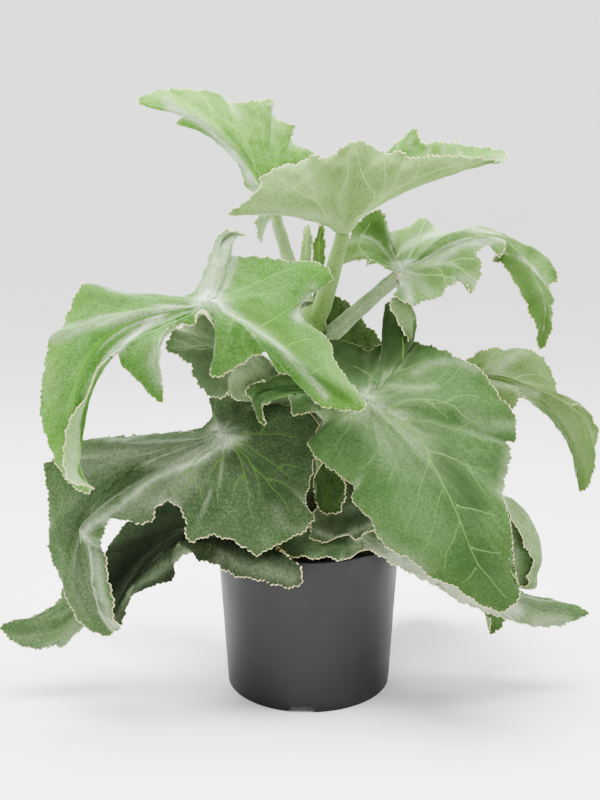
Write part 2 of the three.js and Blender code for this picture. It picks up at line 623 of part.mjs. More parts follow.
// Triangles between an outline's points and inner points, as the eye sees them. Each inner point splits
// the triangle that it lies in, and shared edges are then swapped until the triangles are well shaped.
function sheetTriangles(points, outlineCount) {
  const side = (a, b, c) => {
    const [u, v] = [points[b].clone().sub(points[a]), points[c].clone().sub(points[a])];
    return u.x * v.y - u.y * v.x;
  };
  let triangles = THREE.ShapeUtils.triangulateShape(points.slice(0, outlineCount), [])
    .map(([a, b, c]) => (side(a, b, c) > 0 ? [a, b, c] : [a, c, b]));
  for (const p of range(points.length).slice(outlineCount)) {
    const holds = ([a, b, c]) => side(a, b, p) > 0 && side(b, c, p) > 0 && side(c, a, p) > 0;
    const held = triangles.findIndex(holds);
    if (held < 0) continue;
    const [a, b, c] = triangles[held];
    triangles.splice(held, 1, [a, b, p], [b, c, p], [c, a, p]);
    triangles = swapEdges(points, triangles);
  }
  return swapEdges(points, triangles);
}

// Swaps each shared edge whose two facing corners add up to more than a half turn.
function swapEdges(points, triangles) {
  const corner = (at, p, q) => {
    const [u, v] = [points[p].clone().sub(points[at]), points[q].clone().sub(points[at])];
    return Math.atan2(Math.abs(u.x * v.y - u.y * v.x), u.x * v.x + u.y * v.y);
  };
  const found = triangles.map((t) => [...t]);
  for (let swapped = true; swapped;) {
    swapped = false;
    const seen = new Map();
    found.forEach(([a, b, c], k) => {
      for (const [from, to, far] of [[a, b, c], [b, c, a], [c, a, b]]) seen.set(`${from} ${to}`, { k, far });
    });
    const done = new Set();
    for (const [edge, { k, far }] of seen) {
      const [from, to] = edge.split(' ').map(Number);
      const other = seen.get(`${to} ${from}`);
      if (!other || done.has(k) || done.has(other.k)) continue;
      if (corner(far, from, to) + corner(other.far, from, to) > Math.PI + 1e-6) {
        found[k] = [far, from, other.far];
        found[other.k] = [other.far, to, far];
        done.add(k).add(other.k);
        swapped = true;
      }
    }
  }
  return found;
}

// One sheet of a blade, of even thickness, with both faces on the same triangles.
function sheetGeometry(rim, face, junction) {
  const outline = toothedRim(rim);
  const depthAt = plateThrough([...outline, ...[...face, junction].map((p) => new THREE.Vector3(...p))]);
  const points = [...outline, ...innerPoints(outline)];
  const triangles = sheetTriangles(points, outline.length);
  const depths = points.map(depthAt);
  const middle = points.map((p, v) => seenAt([p.x, p.y, depths[v]]));
  const normals = points.map(() => new THREE.Vector3());
  for (const [a, b, c] of triangles) {
    const normal = middle[b].clone().sub(middle[a]).cross(middle[c].clone().sub(middle[a]));
    for (const v of [a, b, c]) normals[v].add(normal);
  }
  const faces = [-1, 1].flatMap((side) => points.map((p, v) => {
    const sight = middle[v].clone().sub(new THREE.Vector3(0, eye.y, eye.z)).normalize();
    const slant = Math.max(Math.abs(normals[v].normalize().dot(sight)), steepestSlant);
    return seenAt([p.x, p.y, depths[v] + (side * bladeThickness) / 2 / slant]);
  }));
  const count = points.length;
  return closedGeometry(faces, [
    ...triangles,
    ...triangles.map(([a, b, c]) => [a + count, c + count, b + count]),
    ...outline.flatMap((_, a) => {
      const b = (a + 1) % outline.length;
      return [[b, a, a + count], [b, a + count, b + count]];
    }),
  ]);
}

// A leaf: its blade of one sheet or two, its petiole and the thick place where they join, cut to sit
// against the stem.
function leafGeometry(leaf, stemSeat) {
  const hub = new THREE.SphereGeometry(hubSpread * leaf.petioleRadii[0], hubSides, hubRings)
    .translate(...seenAt(leaf.junction).toArray());
  const petiole = taperedBar(leaf.petiole.map(seenAt), leaf.petioleRadii, petioleSides, petioleSteps);
  const near = sheetGeometry(leaf.rim, leaf.face, leaf.junction);
  let whole = toSolid(near).add(toSolid(petiole)).add(toSolid(hub));
  if (leaf.farRim) whole = whole.add(toSolid(sheetGeometry(leaf.farRim, leaf.farFace, leaf.junction)));
  return fromSolid(mainBody(whole.subtract(stemSeat)));
}


// The pot's outline from the middle of its pad, out round the foot and wall, over the lip and down inside.
function potGeometry() {
  const bandBottom = potHeight - potBandHeight;
  const wallTop = potBandRadius - potBandStep;
  const lipInside = potRimRadius - potLipWidth;
  const foot = potBaseRadius - potFootWidth;
  const outline = [
    [0, 0], [potPadRadius, 0], [potPadRadius + potFootBevel, potFootHeight],
    [foot - potFootBevel, potFootHeight], [foot, 0],
    [potBaseRadius - potLipRound, 0], [potBaseRadius, potLipRound],
    [wallTop, bandBottom], [potBandRadius, bandBottom + potLipRound],
    [potRimRadius, potHeight - potLipRound], [potRimRadius - potLipRound, potHeight],
    [lipInside + potLipRound, potHeight], [lipInside, potHeight - potLipRound],
    [wallTop - potWall, bandBottom], [potBaseRadius - potWall, potFootHeight + potFloor],
    [0, potFootHeight + potFloor],
  ].map(([r, z]) => new THREE.Vector2(r, z));
  let pot = toSolid(faceOut(new THREE.LatheGeometry(outline, potSides).rotateX(Math.PI / 2)));
  for (const k of range(notchCount)) {
    const turn = THREE.MathUtils.degToRad(notchTurn) + (k * 2 * Math.PI) / notchCount;
    const half = notchWidth / 2;
    const shape = new THREE.Shape([
      new THREE.Vector2(-half, -cutSpare), new THREE.Vector2(half, -cutSpare),
      new THREE.Vector2(half - notchBevel, notchHeight), new THREE.Vector2(notchBevel - half, notchHeight),
    ]);
    const block = new THREE.ExtrudeGeometry(shape, { depth: notchDepth, bevelEnabled: false })
      .rotateX(Math.PI / 2).translate(0, notchDepth - potBaseRadius - cutSpare, 0).rotateZ(turn);
    pot = pot.subtract(toSolid(block));
  }
  for (const k of range(drainHoleCount)) {
    const turn = ((k + 0.5) * 2 * Math.PI) / drainHoleCount;
    const length = 2 * (potFloor + cutSpare);
    const hole = new THREE.CylinderGeometry(drainHoleRadius, drainHoleRadius, length, drainHoleSides)
      .rotateX(Math.PI / 2)
      .translate(drainRingRadius * Math.cos(turn), drainRingRadius * Math.sin(turn), potFootHeight);
    pot = pot.subtract(toSolid(hole));
  }
  const slitMiddle = bandSlitTop - bandSlitHeight / 2;
  const slit = new THREE.BoxGeometry(bandSlitDepth * 2, bandSlitWidth, bandSlitHeight)
    .translate(potWallRadius(slitMiddle), 0, slitMiddle)
    .rotateZ(THREE.MathUtils.degToRad(bandSlitAngle));
  return fromSolid(pot.subtract(toSolid(slit)));
}

// The pot's outer radius at a height below the band.
function potWallRadius(z) {
  const share = z / (potHeight - potBandHeight);
  return THREE.MathUtils.lerp(potBaseRadius, potBandRadius - potBandStep, share);
}

// A turned outline's geometry with its doubled points joined and its faces out.
function faceOut(geometry) {
  const bare = geometry.clone();
  bare.deleteAttribute('normal');
  bare.deleteAttribute('uv');
  const merged = mergeVertices(bare, mergeReach);
  const place = merged.attributes.position;
  const points = range(place.count).map((i) => new THREE.Vector3().fromBufferAttribute(place, i));
  const index = Array.from(merged.index.array);
  const triangles = range(index.length / 3).map((k) => index.slice(3 * k, 3 * k + 3))
    .filter(([a, b, c]) => a !== b && b !== c && c !== a);
  return closedGeometry(points, triangles);
}

// Soil that fills the pot to a little under its rim, crumbly on top, with a plain hole for the stem.
function soilGeometry() {
  const bottom = potFootHeight + potFloor + soilGap;
  const bottomRadius = potBaseRadius - potWall - soilGap;
  const topRadius = potBandRadius - potBandStep - potWall - 3 * soilGap;
  const outline = [[0, bottom], [bottomRadius, bottom], [topRadius, soilTop - soilEdgeDrop],
    ...soilRings.map((share) => [share * topRadius, soilTop]), [0, soilTop]]
    .map(([r, z]) => new THREE.Vector2(r, z));
  const body = faceOut(new THREE.LatheGeometry(outline, soilSides).rotateX(Math.PI / 2));
  const place = body.attributes.position;
  for (const i of range(place.count)) {
    const [x, y, z] = [place.getX(i), place.getY(i), place.getZ(i)];
    if (z > soilTop - soilEdgeDrop / 2) {
      const lumps = Math.sin(x * 0.31 + 1.3) * Math.sin(y * 0.27 - 0.6) + 0.6 * Math.sin(x * 0.83 - y * 0.71);
      place.setZ(i, z + (crumbHeight * (lumps - 1)) / 2);
    }
  }
  const holeRadius = stemRadii[0] * (1 + stemKnobs) + soilGap;
  const length = stemHoleDepth + 2 * cutSpare;
  const hole = new THREE.CylinderGeometry(holeRadius, holeRadius, length, stemHoleSides).rotateX(Math.PI / 2)
    .translate(0, 0, soilTop - stemHoleDepth + length / 2);
  return fromSolid(toSolid(body).subtract(toSolid(hole)));
}

// The stem, swollen a little at each old leaf scar. `spare` makes it that much fatter all over.
function stemGeometry(spare) {
  const ripple = (d) => 1 + stemKnobs * Math.sin((2 * Math.PI * d) / stemKnobPitch) ** 3;
  const route = stemRoute.map((p) => new THREE.Vector3(...p));
  const radii = stemRadii.map((r) => r + spare);
  return taperedBar(route, radii, stemSides, stemRings, ripple);
}

const plasticBlack = new THREE.MeshStandardMaterial({ color: 0x47474a, roughness: 0.45, metalness: 0 });
const soilBrown = new THREE.MeshStandardMaterial({ color: 0x2a211a, roughness: 1, metalness: 0 });
const stemFelt = new THREE.MeshStandardMaterial({ color: 0x9aa584, roughness: 0.95, metalness: 0 });

function leafFelt([r, g, b]) {
  return new THREE.MeshStandardMaterial({ color: new THREE.Color(r, g, b), roughness: 0.9, metalness: 0 });
}

const plant = new THREE.Group();

function addPiece(name, geometry, material) {
  const mesh = new THREE.Mesh(geometry, material);
  mesh.name = name;
  plant.add(mesh);
}

const stemSeat = toSolid(stemGeometry(seatGap));
addPiece('pot', potGeometry(), plasticBlack);
addPiece('soil', soilGeometry(), soilBrown);
addPiece('stem', stemGeometry(0), stemFelt);
for (const [name, leaf] of Object.entries(leaves)) {
  addPiece(name, leafGeometry(leaf, stemSeat), leafFelt(leaf.tint));
}

export default plant;
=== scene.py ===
# A felt bush kalanchoe in a black nursery pot, dressed round its fixed frame.
# Shapes are in millimetres until their mesh is made; lamps and the grains of materials are in metres.
import math

import bpy
import numpy as np
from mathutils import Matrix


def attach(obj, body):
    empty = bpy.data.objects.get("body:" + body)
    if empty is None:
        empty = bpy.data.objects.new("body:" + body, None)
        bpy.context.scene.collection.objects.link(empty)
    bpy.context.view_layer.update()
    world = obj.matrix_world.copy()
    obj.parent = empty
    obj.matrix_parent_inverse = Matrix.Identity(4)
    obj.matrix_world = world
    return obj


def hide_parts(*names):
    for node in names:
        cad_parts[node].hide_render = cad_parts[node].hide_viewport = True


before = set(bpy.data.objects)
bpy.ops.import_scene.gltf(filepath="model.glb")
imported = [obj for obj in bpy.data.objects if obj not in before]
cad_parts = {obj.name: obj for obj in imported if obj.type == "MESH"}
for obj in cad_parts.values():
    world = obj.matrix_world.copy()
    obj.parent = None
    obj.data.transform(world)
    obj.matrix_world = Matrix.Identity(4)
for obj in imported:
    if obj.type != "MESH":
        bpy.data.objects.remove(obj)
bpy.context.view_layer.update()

mm = 0.001

# the camera stands in front of the plant, level with its upper leaves and tipped down a little
view = {"back": 1120, "up": 550, "down": 0.22, "lens": 51.17, "shift": -0.0106}

camera = bpy.data.objects.new("camera", bpy.data.cameras.new("camera"))
camera.data.lens = view["lens"]
camera.data.shift_x = view["shift"]
camera.location = (0, -view["back"] * mm, view["up"] * mm)
camera.rotation_euler = (math.pi / 2 - view["down"], 0, 0)
bpy.context.scene.collection.objects.link(camera)
bpy.context.scene.camera = camera
print("camera set")


class Wire:
    # A socket of a node tree. Sums on wires add Math nodes.
    def __init__(self, tree, socket=None):
        self.tree = tree
        self.socket = socket

    def node(self, kind, settings=None, inputs=None, output=0):
        # any node: its settings first, then the values or wires of its sockets
        made = self.tree.nodes.new(kind)
        for name, value in (settings or {}).items():
            if name == "stops":
                while len(made.color_ramp.elements) < len(value):
                    made.color_ramp.elements.new(1.0)
                for element, (place, shade) in zip(made.color_ramp.elements, value):
                    element.position = place
                    element.color = (*shade, 1.0)
            else:
                setattr(made, name, value)
        for name, value in (inputs or {}).items():
            if isinstance(value, Wire):
                self.tree.links.new(value.socket, made.inputs[name])
            else:
                made.inputs[name].default_value = value
        return Wire(self.tree, made.outputs[output])

    def sum(self, operation, first, second=0.0):
        # a Math node of two wires or numbers
        return self.node("ShaderNodeMath", {"operation": operation}, {0: first, 1: second})

    def __add__(self, other):
        return self.sum("ADD", self, other)

    def __radd__(self, other):
        return self.sum("ADD", other, self)

    def __sub__(self, other):
        return self.sum("SUBTRACT", self, other)

    def __rsub__(self, other):
        return self.sum("SUBTRACT", other, self)

    def __mul__(self, other):
        return self.sum("MULTIPLY", self, other)

    def __truediv__(self, other):
        return self.sum("DIVIDE", self, other)

    def size(self):
        return self.sum("ABSOLUTE", self)

    def over(self, low, high):
        # 0 below low, 1 above high, smooth between; falls where low is the larger
        settings = {"interpolation_type": "SMOOTHSTEP"}
        spread = {"Value": self, "From Min": min(low, high), "From Max": max(low, high)}
        rising = self.node("ShaderNodeMapRange", settings, spread)
        return rising if high > low else 1 - rising

    def between(self, first, second):
        # the first colour where this is 0, the second where it is 1
        return self.node("ShaderNodeMix", {"data_type": "RGBA"}, {0: self, 6: first, 7: second}, 2)


def newMaterial(name):
    # an empty material, with a wire to start its tree and the shader that it ends in
    material = bpy.data.materials.new(name)
    material.use_nodes = True
    tree = material.node_tree
    tree.nodes.clear()
    shader = tree.nodes.new("ShaderNodeBsdfPrincipled")
    output = tree.nodes.new("ShaderNodeOutputMaterial")
    tree.links.new(shader.outputs[0], output.inputs[0])
    return material, Wire(tree), shader


def finishShader(wire, shader, varying, constant):
    # links what changes over the surface, and sets what doesn't on the shader itself
    for name, value in varying.items():
        wire.tree.links.new(value.socket, shader.inputs[name])
    for name, value in constant.items():
        shader.inputs[name].default_value = value


def grain(wire, size, detail=2.0, roughness=0.5):
    # noise whose lumps are about `size` metres across, from 0 to 1
    place = wire.node("ShaderNodeTexCoord", output="Object")
    inputs = {"Vector": place, "Scale": 1 / size, "Detail": detail, "Roughness": roughness}
    return wire.node("ShaderNodeTexNoise", inputs=inputs)


def opaque(shade):
    # a linear shade with its alpha
    return (*shade, 1.0)


def ramp(wire, field, *stops):
    # the shades of the stops, (place, shade), picked by a wire
    return wire.node("ShaderNodeValToRGB", {"stops": stops}, {0: field})


def raised(wire, height, strength, distance):
    # normals tipped as if the skin stood up by height times distance, in metres
    return wire.node("ShaderNodeBump", inputs={"Height": height, "Strength": strength, "Distance": distance})


def smoothThrough(knots, values, at):
    # a cubic through the values at the knots; the slope at each knot weighs the two spans beside it
    knots = np.asarray(knots, float)
    values = np.asarray(values, float)
    widths = np.diff(knots).reshape((-1,) + (1,) * (values.ndim - 1))
    rises = np.diff(values, axis=0) / widths
    slopes = np.zeros_like(values)
    slopes[1:-1] = (rises[:-1] * widths[1:] + rises[1:] * widths[:-1]) / (widths[1:] + widths[:-1])
    slopes[0] = 1.5 * rises[0] - 0.5 * slopes[1]
    slopes[-1] = 1.5 * rises[-1] - 0.5 * slopes[-2]
    at = np.asarray(at, float)
    span = np.clip(np.searchsorted(knots, at, side="right") - 1, 0, len(knots) - 2)
    share = (at - knots[span]) / (knots[span + 1] - knots[span])
    return hermite(values, slopes, widths, span, share.reshape((-1,) + (1,) * (values.ndim - 1)))


def hermite(values, slopes, widths, span, u):
    # start (1 - r) + end r + startSlope w u (1 - u)^2 - endSlope w u^2 (1 - u), with r = u^2 (3 - 2u)
    rise = u * u * (3 - 2 * u)
    start = widths[span] * u * (1 - u) ** 2
    end = -widths[span] * u * u * (1 - u)
    place = values[span] * (1 - rise) + values[span + 1] * rise
    return place + slopes[span] * start + slopes[span + 1] * end


def softNoise(points, size, seed, count=8):
    # sine waves in scattered directions, each about `size` long, summed to about -1 to 1
    draw = np.random.default_rng(seed)
    aims = draw.normal(size=(count, 3))
    aims /= np.linalg.norm(aims, axis=1)[:, None]
    lengths = size * draw.uniform(0.7, 1.5, count)
    phases = draw.uniform(0, 2 * np.pi, count)
    waves = np.sin(points @ (aims / lengths[:, None]).T * 2 * np.pi + phases)
    return waves.sum(axis=1) * math.sqrt(2 / count) * 0.7


def pointNormals(points, faces):
    # each point's normal is the sum of its faces' normals, weighed by their size
    normals = np.zeros_like(points)
    for corners in faces:
        across = points[corners[:, 1]] - points[corners[:, 0]]
        along = points[corners[:, -1]] - points[corners[:, 0]]
        facing = np.cross(across, along)
        for column in range(corners.shape[1]):
            np.add.at(normals, corners[:, column], facing)
    lengths = np.linalg.norm(normals, axis=1)[:, None]
    return normals / np.maximum(lengths, 1e-12)


def meshObject(name, points, faces):
    # an object from points in millimetres and arrays of faces
    mesh = bpy.data.meshes.new(name)
    mesh.from_pydata((points * mm).tolist(), [], [face for corners in faces for face in corners.tolist()])
    made = bpy.data.objects.new(name, mesh)
    bpy.context.scene.collection.objects.link(made)
    return made


def newPiece(name, points, faces, material, nodes, fields=None):
    # a smooth piece that stands for its CAD nodes, with the fields of its points as attributes
    piece = meshObject(name, points, faces)
    for field, values in (fields or {}).items():
        attribute = piece.data.attributes.new(field, "FLOAT", "POINT")
        attribute.data.foreach_set("value", values.astype(np.float32))
    piece.data.shade_smooth()
    piece.data.materials.append(material)
    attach(piece, "root")
    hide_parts(*nodes)
    return piece


def seenAt(table):
    # (across, up, depth) places set on the camera's rays: both grow by (back + depth) / back round the eye
    table = np.asarray(table, float)
    reach = (view["back"] + table[:, 2]) / view["back"]
    upright = view["up"] + (table[:, 1] - view["up"]) * reach
    return np.stack([table[:, 0] * reach, table[:, 2], upright], axis=1)


def inView(points):
    # the inverse of seenAt: across, up and depth in the camera's view plane
    reach = (view["back"] + points[:, 1]) / view["back"]
    upright = view["up"] + (points[:, 2] - view["up"]) / reach
    return np.stack([points[:, 0] / reach, upright, points[:, 1]], axis=1)


# pitches of the mesh, then where the shoulder lies on a spoke, how columns and rows are shared out, the
# thickness, and the swelling at the stalk
blade = {
    "rimPitch": 1.15, "innerPitch": 2.3, "shoulder": 0.85, "samples": 4001, "columnMix": (0.85, 0.15),
    "fewest": 20, "crowd": 1.25, "curved": 1.12, "fineBand": 8.0, "fineRows": 7, "fineBias": 1.3,
    "rimRows": 6, "edgeRow": -5, "leastSlant": 0.3, "half": 0.65, "rimHalf": 0.38, "thinBand": 3,
    "ridge": 0.3, "swell": 3.2,
}


def leafNet(leaf):
    # for each rim point: the junction, the rib point half way out, the shoulder and the rim point itself.
    # The shoulder lies on the parabola through the other three, unless the edge rolls and `turns` gives it.
    start = seenAt([leaf["junction"]])
    rim = seenAt(leaf["rim"])
    ribs = np.array(leaf["ribs"], float)
    middle = smoothThrough(ribs[:, 0], seenAt(ribs[:, 1:]), np.arange(len(rim)))
    bend = 2 * middle - (start + rim) / 2
    u = blade["shoulder"]
    shoulder = (1 - u) ** 2 * start + 2 * u * (1 - u) * bend + u**2 * rim
    turns = np.array(leaf.get("turns", np.zeros((0, 4))), float)
    shoulder[turns[:, 0].astype(int)] = seenAt(turns[:, 1:])
    return np.stack([np.repeat(start, len(rim), axis=0), middle, shoulder, rim], axis=1)


def aroundNet(net, columns):
    # the net at any places along its rim, which closes on itself
    wrapped = np.concatenate([net[-3:], net, net[:3]])
    return smoothThrough(np.arange(-3, len(net) + 3), wrapped, columns)


def alongSpokes(spokes, rows):
    # spokes (their knots first) at rows from 0, the junction, to 1, the rim
    return smoothThrough([0, 0.5, blade["shoulder"], 1], spokes, rows)


def bladeSheet(net):
    # the sheet in the middle of a blade, as a full grid of rows, from the junction out, and columns, round
    # the rim, and how often its columns may halve towards the junction
    places = np.linspace(0, len(net), blade["samples"])
    line = aroundNet(net[:, 3], places)
    run = np.concatenate([[0], np.cumsum(np.linalg.norm(np.diff(line, axis=0), axis=1))])
    levels = max(1, math.ceil(math.log2(run[-1] / blade["rimPitch"] / blade["fewest"])))
    count = math.ceil(run[-1] / blade["rimPitch"] / 2**levels) * 2**levels
    byRun, byPlace = blade["columnMix"]
    share = byRun * run / run[-1] + byPlace * places / places[-1]
    columns = np.interp(np.arange(count) / count, share, places)
    reach = np.linalg.norm(net[:, 3] - net[:, 0], axis=1).mean() * blade["curved"]
    inner = np.linspace(0, 1 - blade["fineBand"] / reach, max(3, round(reach / blade["innerPitch"])))
    outer = 1 - np.linspace(1, 0, blade["fineRows"])[1:] ** blade["fineBias"] * blade["fineBand"] / reach
    rows = np.concatenate([inner, outer])
    return alongSpokes(np.swapaxes(aroundNet(net, columns), 0, 1), rows), levels


def slope(values, axis):
    # central differences, closed round the rim and one-sided at the junction and the rim
    if axis == 1:
        return (np.roll(values, -1, axis=1) - np.roll(values, 1, axis=1)) / 2
    return np.gradient(values, axis=0)


def smoothed(field, times):
    # each value becomes half itself and a quarter of each neighbour, round the rim and then up the spokes
    for _ in range(times):
        field = (np.roll(field, 1, axis=1) + 2 * field + np.roll(field, -1, axis=1)) / 4
        ends = np.concatenate([field[:1], field, field[-1:]])
        field = (ends[:-2] + 2 * field + ends[2:]) / 4
    return field


def unit(vectors):
    # the vectors over their lengths
    return vectors / (np.linalg.norm(vectors, axis=-1)[..., None] + 1e-9)


def outwardOf(grid):
    # at the rim: the direction that leaves the sheet square to its edge, eased round the rim
    along = unit(slope(grid, 1)[-1])
    out = grid[-1] - grid[blade["edgeRow"]]
    out = unit(out - (out * along).sum(axis=1)[:, None] * along)
    for _ in range(6):
        out = (np.roll(out, 1, axis=0) + 2 * out + np.roll(out, -1, axis=0)) / 4
    return out


# teeth by pitch and reach; they start some way from the junction and fade inwards from the rim, and the last
# tooth ends a little past the edge's end, so that every place on the edge is on a tooth
teeth = {
    "sizes": ((15.0, 2.8), (4.8, 2.6)), "spread": 0.35, "round": 1.4, "high": (0.45, 1.0), "middle": 0.45,
    "start": (10, 25), "band": 8, "fade": 1.4, "past": 1.0001,
}


def toothWave(run, seed, pitch):
    # rounded teeth of uneven widths along an edge: 1 - |2u - 1|^1.4 over each tooth, u from 0 to 1
    draw = np.random.default_rng(seed)
    count = max(3, round(run[-1] / pitch))
    spans = draw.uniform(1 - teeth["spread"], 1 + teeth["spread"], count)
    ends = np.concatenate([[0], np.cumsum(spans)])
    ends *= run[-1] * teeth["past"] / ends[-1]
    tooth = np.searchsorted(ends, run, side="right") - 1
    share = (run - ends[tooth]) / np.diff(ends)[tooth]
    return (1 - np.abs(2 * share - 1) ** teeth["round"]) * draw.uniform(*teeth["high"], count)[tooth]


def toothed(grid, edge, centre, seed):
    # the sheet with its rim set out by reach * (tooth - middle), summed over the sizes of teeth
    rimRun = np.cumsum(np.linalg.norm(grid[-1] - np.roll(grid[-1], 1, axis=0), axis=1))
    push = sum(
        reach * (toothWave(rimRun, seed + index, pitch) - teeth["middle"])
        for index, (pitch, reach) in enumerate(teeth["sizes"])
    )
    start, rise = teeth["start"]
    push *= np.clip((centre[-1] - start) / rise, 0, 1)
    fade = np.clip(1 - edge / teeth["band"], 0, 1) ** teeth["fade"]
    return grid + outwardOf(grid)[None] * (push * fade)[..., None]


def ringed(numbers, step):
    # a row's kept point numbers, with the first again at the end
    kept = numbers[::step]
    return np.append(kept, kept[0])


def zipRows(numbers, keep):
    # faces between the kept columns of each row and the next: quads, or three triangles where the count
    # doubles
    quads = []
    triangles = []
    for row in range(1, len(numbers) - 1):
        low = ringed(numbers[row], keep[row])
        high = ringed(numbers[row + 1], keep[row + 1])
        if len(low) == len(high):
            quads.append(np.stack([low[:-1], high[:-1], high[1:], low[1:]], axis=1))
        else:
            first, centre, last = high[:-1:2], high[1::2], high[2::2]
            triangles.append(np.stack([low[:-1], first, centre], axis=1))
            triangles.append(np.stack([low[:-1], centre, low[1:]], axis=1))
            triangles.append(np.stack([low[1:], centre, last], axis=1))
    first = ringed(numbers[1], keep[1])
    tip = np.full(len(first) - 1, numbers[0][0])
    triangles.append(np.stack([tip, first[:-1], first[1:]], axis=1))
    return np.concatenate(quads), np.concatenate(triangles)


def keptColumns(grid, levels):
    # for each row, the step between the columns it keeps: a power of two that halves at most once a row
    around = np.linalg.norm(grid - np.roll(grid, 1, axis=1), axis=2).sum(axis=1)
    keep = []
    step = 2**levels
    for row, run in enumerate(around):
        wanted = blade["rimPitch"] if row > len(around) - blade["rimRows"] else blade["innerPitch"]
        if row > 1 and step > 1 and run / (grid.shape[1] / step) > wanted * blade["crowd"]:
            step //= 2
        keep.append(step)
    return keep


crestForm = {"flat": 0.05, "most": 0.12, "passes": 30}


def crestField(grid):
    # how strongly the sheet bends away from its normal, in 1/mm: second differences over squared steps
    stepS = slope(grid, 1)
    stepT = slope(grid, 0)
    normal = unit(np.cross(stepS, stepT))
    bend = sum(
        (slope(step, axis) * normal).sum(axis=2) / ((step**2).sum(axis=2) + crestForm["flat"])
        for step, axis in ((stepS, 1), (stepT, 0))
    )
    return -smoothed(np.clip(bend, -crestForm["most"], crestForm["most"]), crestForm["passes"])


def edgeFields(grid):
    # how far each point of the sheet is from the rim, square to it, and from the junction
    steps = np.linalg.norm(np.diff(grid, axis=0), axis=2)
    spokeRun = np.concatenate([np.zeros((1, grid.shape[1])), np.cumsum(steps, axis=0)])
    along = unit(slope(grid, 1)[-1])
    slant = np.linalg.norm(np.cross(unit(grid[-1] - grid[blade["edgeRow"]]), along), axis=1)
    edge = (spokeRun[-1] - spokeRun) * np.maximum(slant, blade["leastSlant"])
    return edge, np.linalg.norm(grid - grid[0, 0], axis=2)


ruffles = {"long": 34, "high": 1.1, "band": 30, "fineLong": 13, "fineHigh": 0.35, "crease": (0.35, 3.5)}


def ruffled(points, edge, veinNear, veinWidth, seed):
    # heights off the sheet: long waves that grow to the rim, fine waves, and creases along the thicker veins
    waves = softNoise(points, ruffles["long"], seed + 1) * ruffles["high"]
    waves *= np.clip(1 - edge / ruffles["band"], 0, 1)
    waves += softNoise(points, ruffles["fineLong"], seed + 2) * ruffles["fineHigh"]
    deep, wide = ruffles["crease"]
    return waves - deep * np.exp(-veinNear / wide) * np.clip((veinWidth - 0.3) / 0.9, 0, 1)


def bladeParts(leaf, net, seed):
    # a blade as two skins round the sheet, with a rounded rim between them; also the fields of its points
    grid, levels = bladeSheet(net)
    edge, centre = edgeFields(grid)
    bent = crestField(grid)
    grid = toothed(grid, edge, centre, seed)
    numbers = np.arange(edge.size).reshape(edge.shape)
    quads, triangles = zipRows(numbers, keptColumns(grid, levels))
    used = np.unique(np.concatenate([quads.ravel(), triangles.ravel()]))
    renumber = np.full(numbers.size, -1)
    renumber[used] = np.arange(len(used))
    quads, triangles, loop = renumber[quads], renumber[triangles], renumber[numbers[-1]]
    points, edge, centre, bent = (
        field.reshape(-1, *field.shape[2:])[used] for field in (grid, edge, centre, bent)
    )
    normals = pointNormals(points, [quads, triangles])
    eye = np.array([0, -view["back"], view["up"]])
    upward = ((eye - points) * normals).sum(axis=1).mean() > 0
    if upward == bool(leaf.get("underside")):
        quads, triangles, loop = quads[:, ::-1], triangles[:, ::-1], loop[::-1]
        normals, bent = -normals, -bent
    vein, veinNear, veinWidth = veinFields(leaf, net, points, normals)
    feltAndSheen, hollow = foldFields(leaf, points)
    points = points + normals * ruffled(points, edge, veinNear, veinWidth, seed)[:, None]
    stalk = leaf["stalk"][0]
    swell = stalk * np.clip(1 - (centre / (blade["swell"] * stalk)) ** 2, 0, 1) ** 2
    thicker = (blade["half"] - blade["rimHalf"]) * np.clip(edge / blade["thinBand"], 0, 1)
    half = blade["rimHalf"] + thicker + swell
    front = points + normals * half[:, None]
    back = points - normals * half[:, None]
    after = np.roll(loop, -1)
    outside = unit(np.cross(points[after] - points[np.roll(loop, 1)], normals[loop]))
    ridge = points[loop] + outside * blade["ridge"]
    count = len(points)
    middle = 2 * count + np.arange(len(loop))
    beyond = np.roll(middle, -1)
    rimFaces = [
        np.stack([loop, middle, beyond, after], axis=1),
        np.stack([middle, loop + count, after + count, beyond], axis=1),
    ]
    faces = [quads, triangles, quads[:, ::-1] + count, triangles[:, ::-1] + count, *rimFaces]
    fields = {}
    for name, values in (("vein", vein), ("veinNear", veinNear), ("veinWidth", veinWidth)):
        fields[name] = np.concatenate([values, values, np.full(len(loop), 9.0)])
    for name, values in (("fold", feltAndSheen), ("hollow", hollow), ("edge", edge), ("centre", centre)):
        fields[name] = np.concatenate([values, values, values[loop]])
    fields["crest"] = np.concatenate([bent, -bent, np.zeros(len(loop))])
    fields["under"] = np.concatenate([np.zeros(count), np.ones(count), np.full(len(loop), 0.5)])
    return np.concatenate([front, back, ridge]), faces, fields


def tubeFaces(rings, sides):
    # walls between the rings of a tube, and fans that close it on the two points after the rings' own
    numbers = np.arange(rings * sides).reshape(rings, sides)
    after = np.roll(numbers, -1, axis=1)
    walls = np.stack([numbers[:-1], after[:-1], after[1:], numbers[1:]], axis=-1).reshape(-1, 4)
    first = np.stack([after[0], numbers[0], np.full(sides, rings * sides)], axis=1)
    last = np.stack([numbers[-1], after[-1], np.full(sides, rings * sides + 1)], axis=1)
    return [walls, first, last]


def ringsRound(first, second, sides):
    # unit rings, each in the plane of its two directions: cos(turn) * first + sin(turn) * second
    turn = np.linspace(0, 2 * np.pi, sides, endpoint=False)
    return np.cos(turn)[None, :, None] * first[:, None] + np.sin(turn)[None, :, None] * second[:, None]


stalkRings = {"sides": 28, "pitch": 2.0, "gap": 0.3, "cap": 0.4, "lump": 16, "high": 0.25}


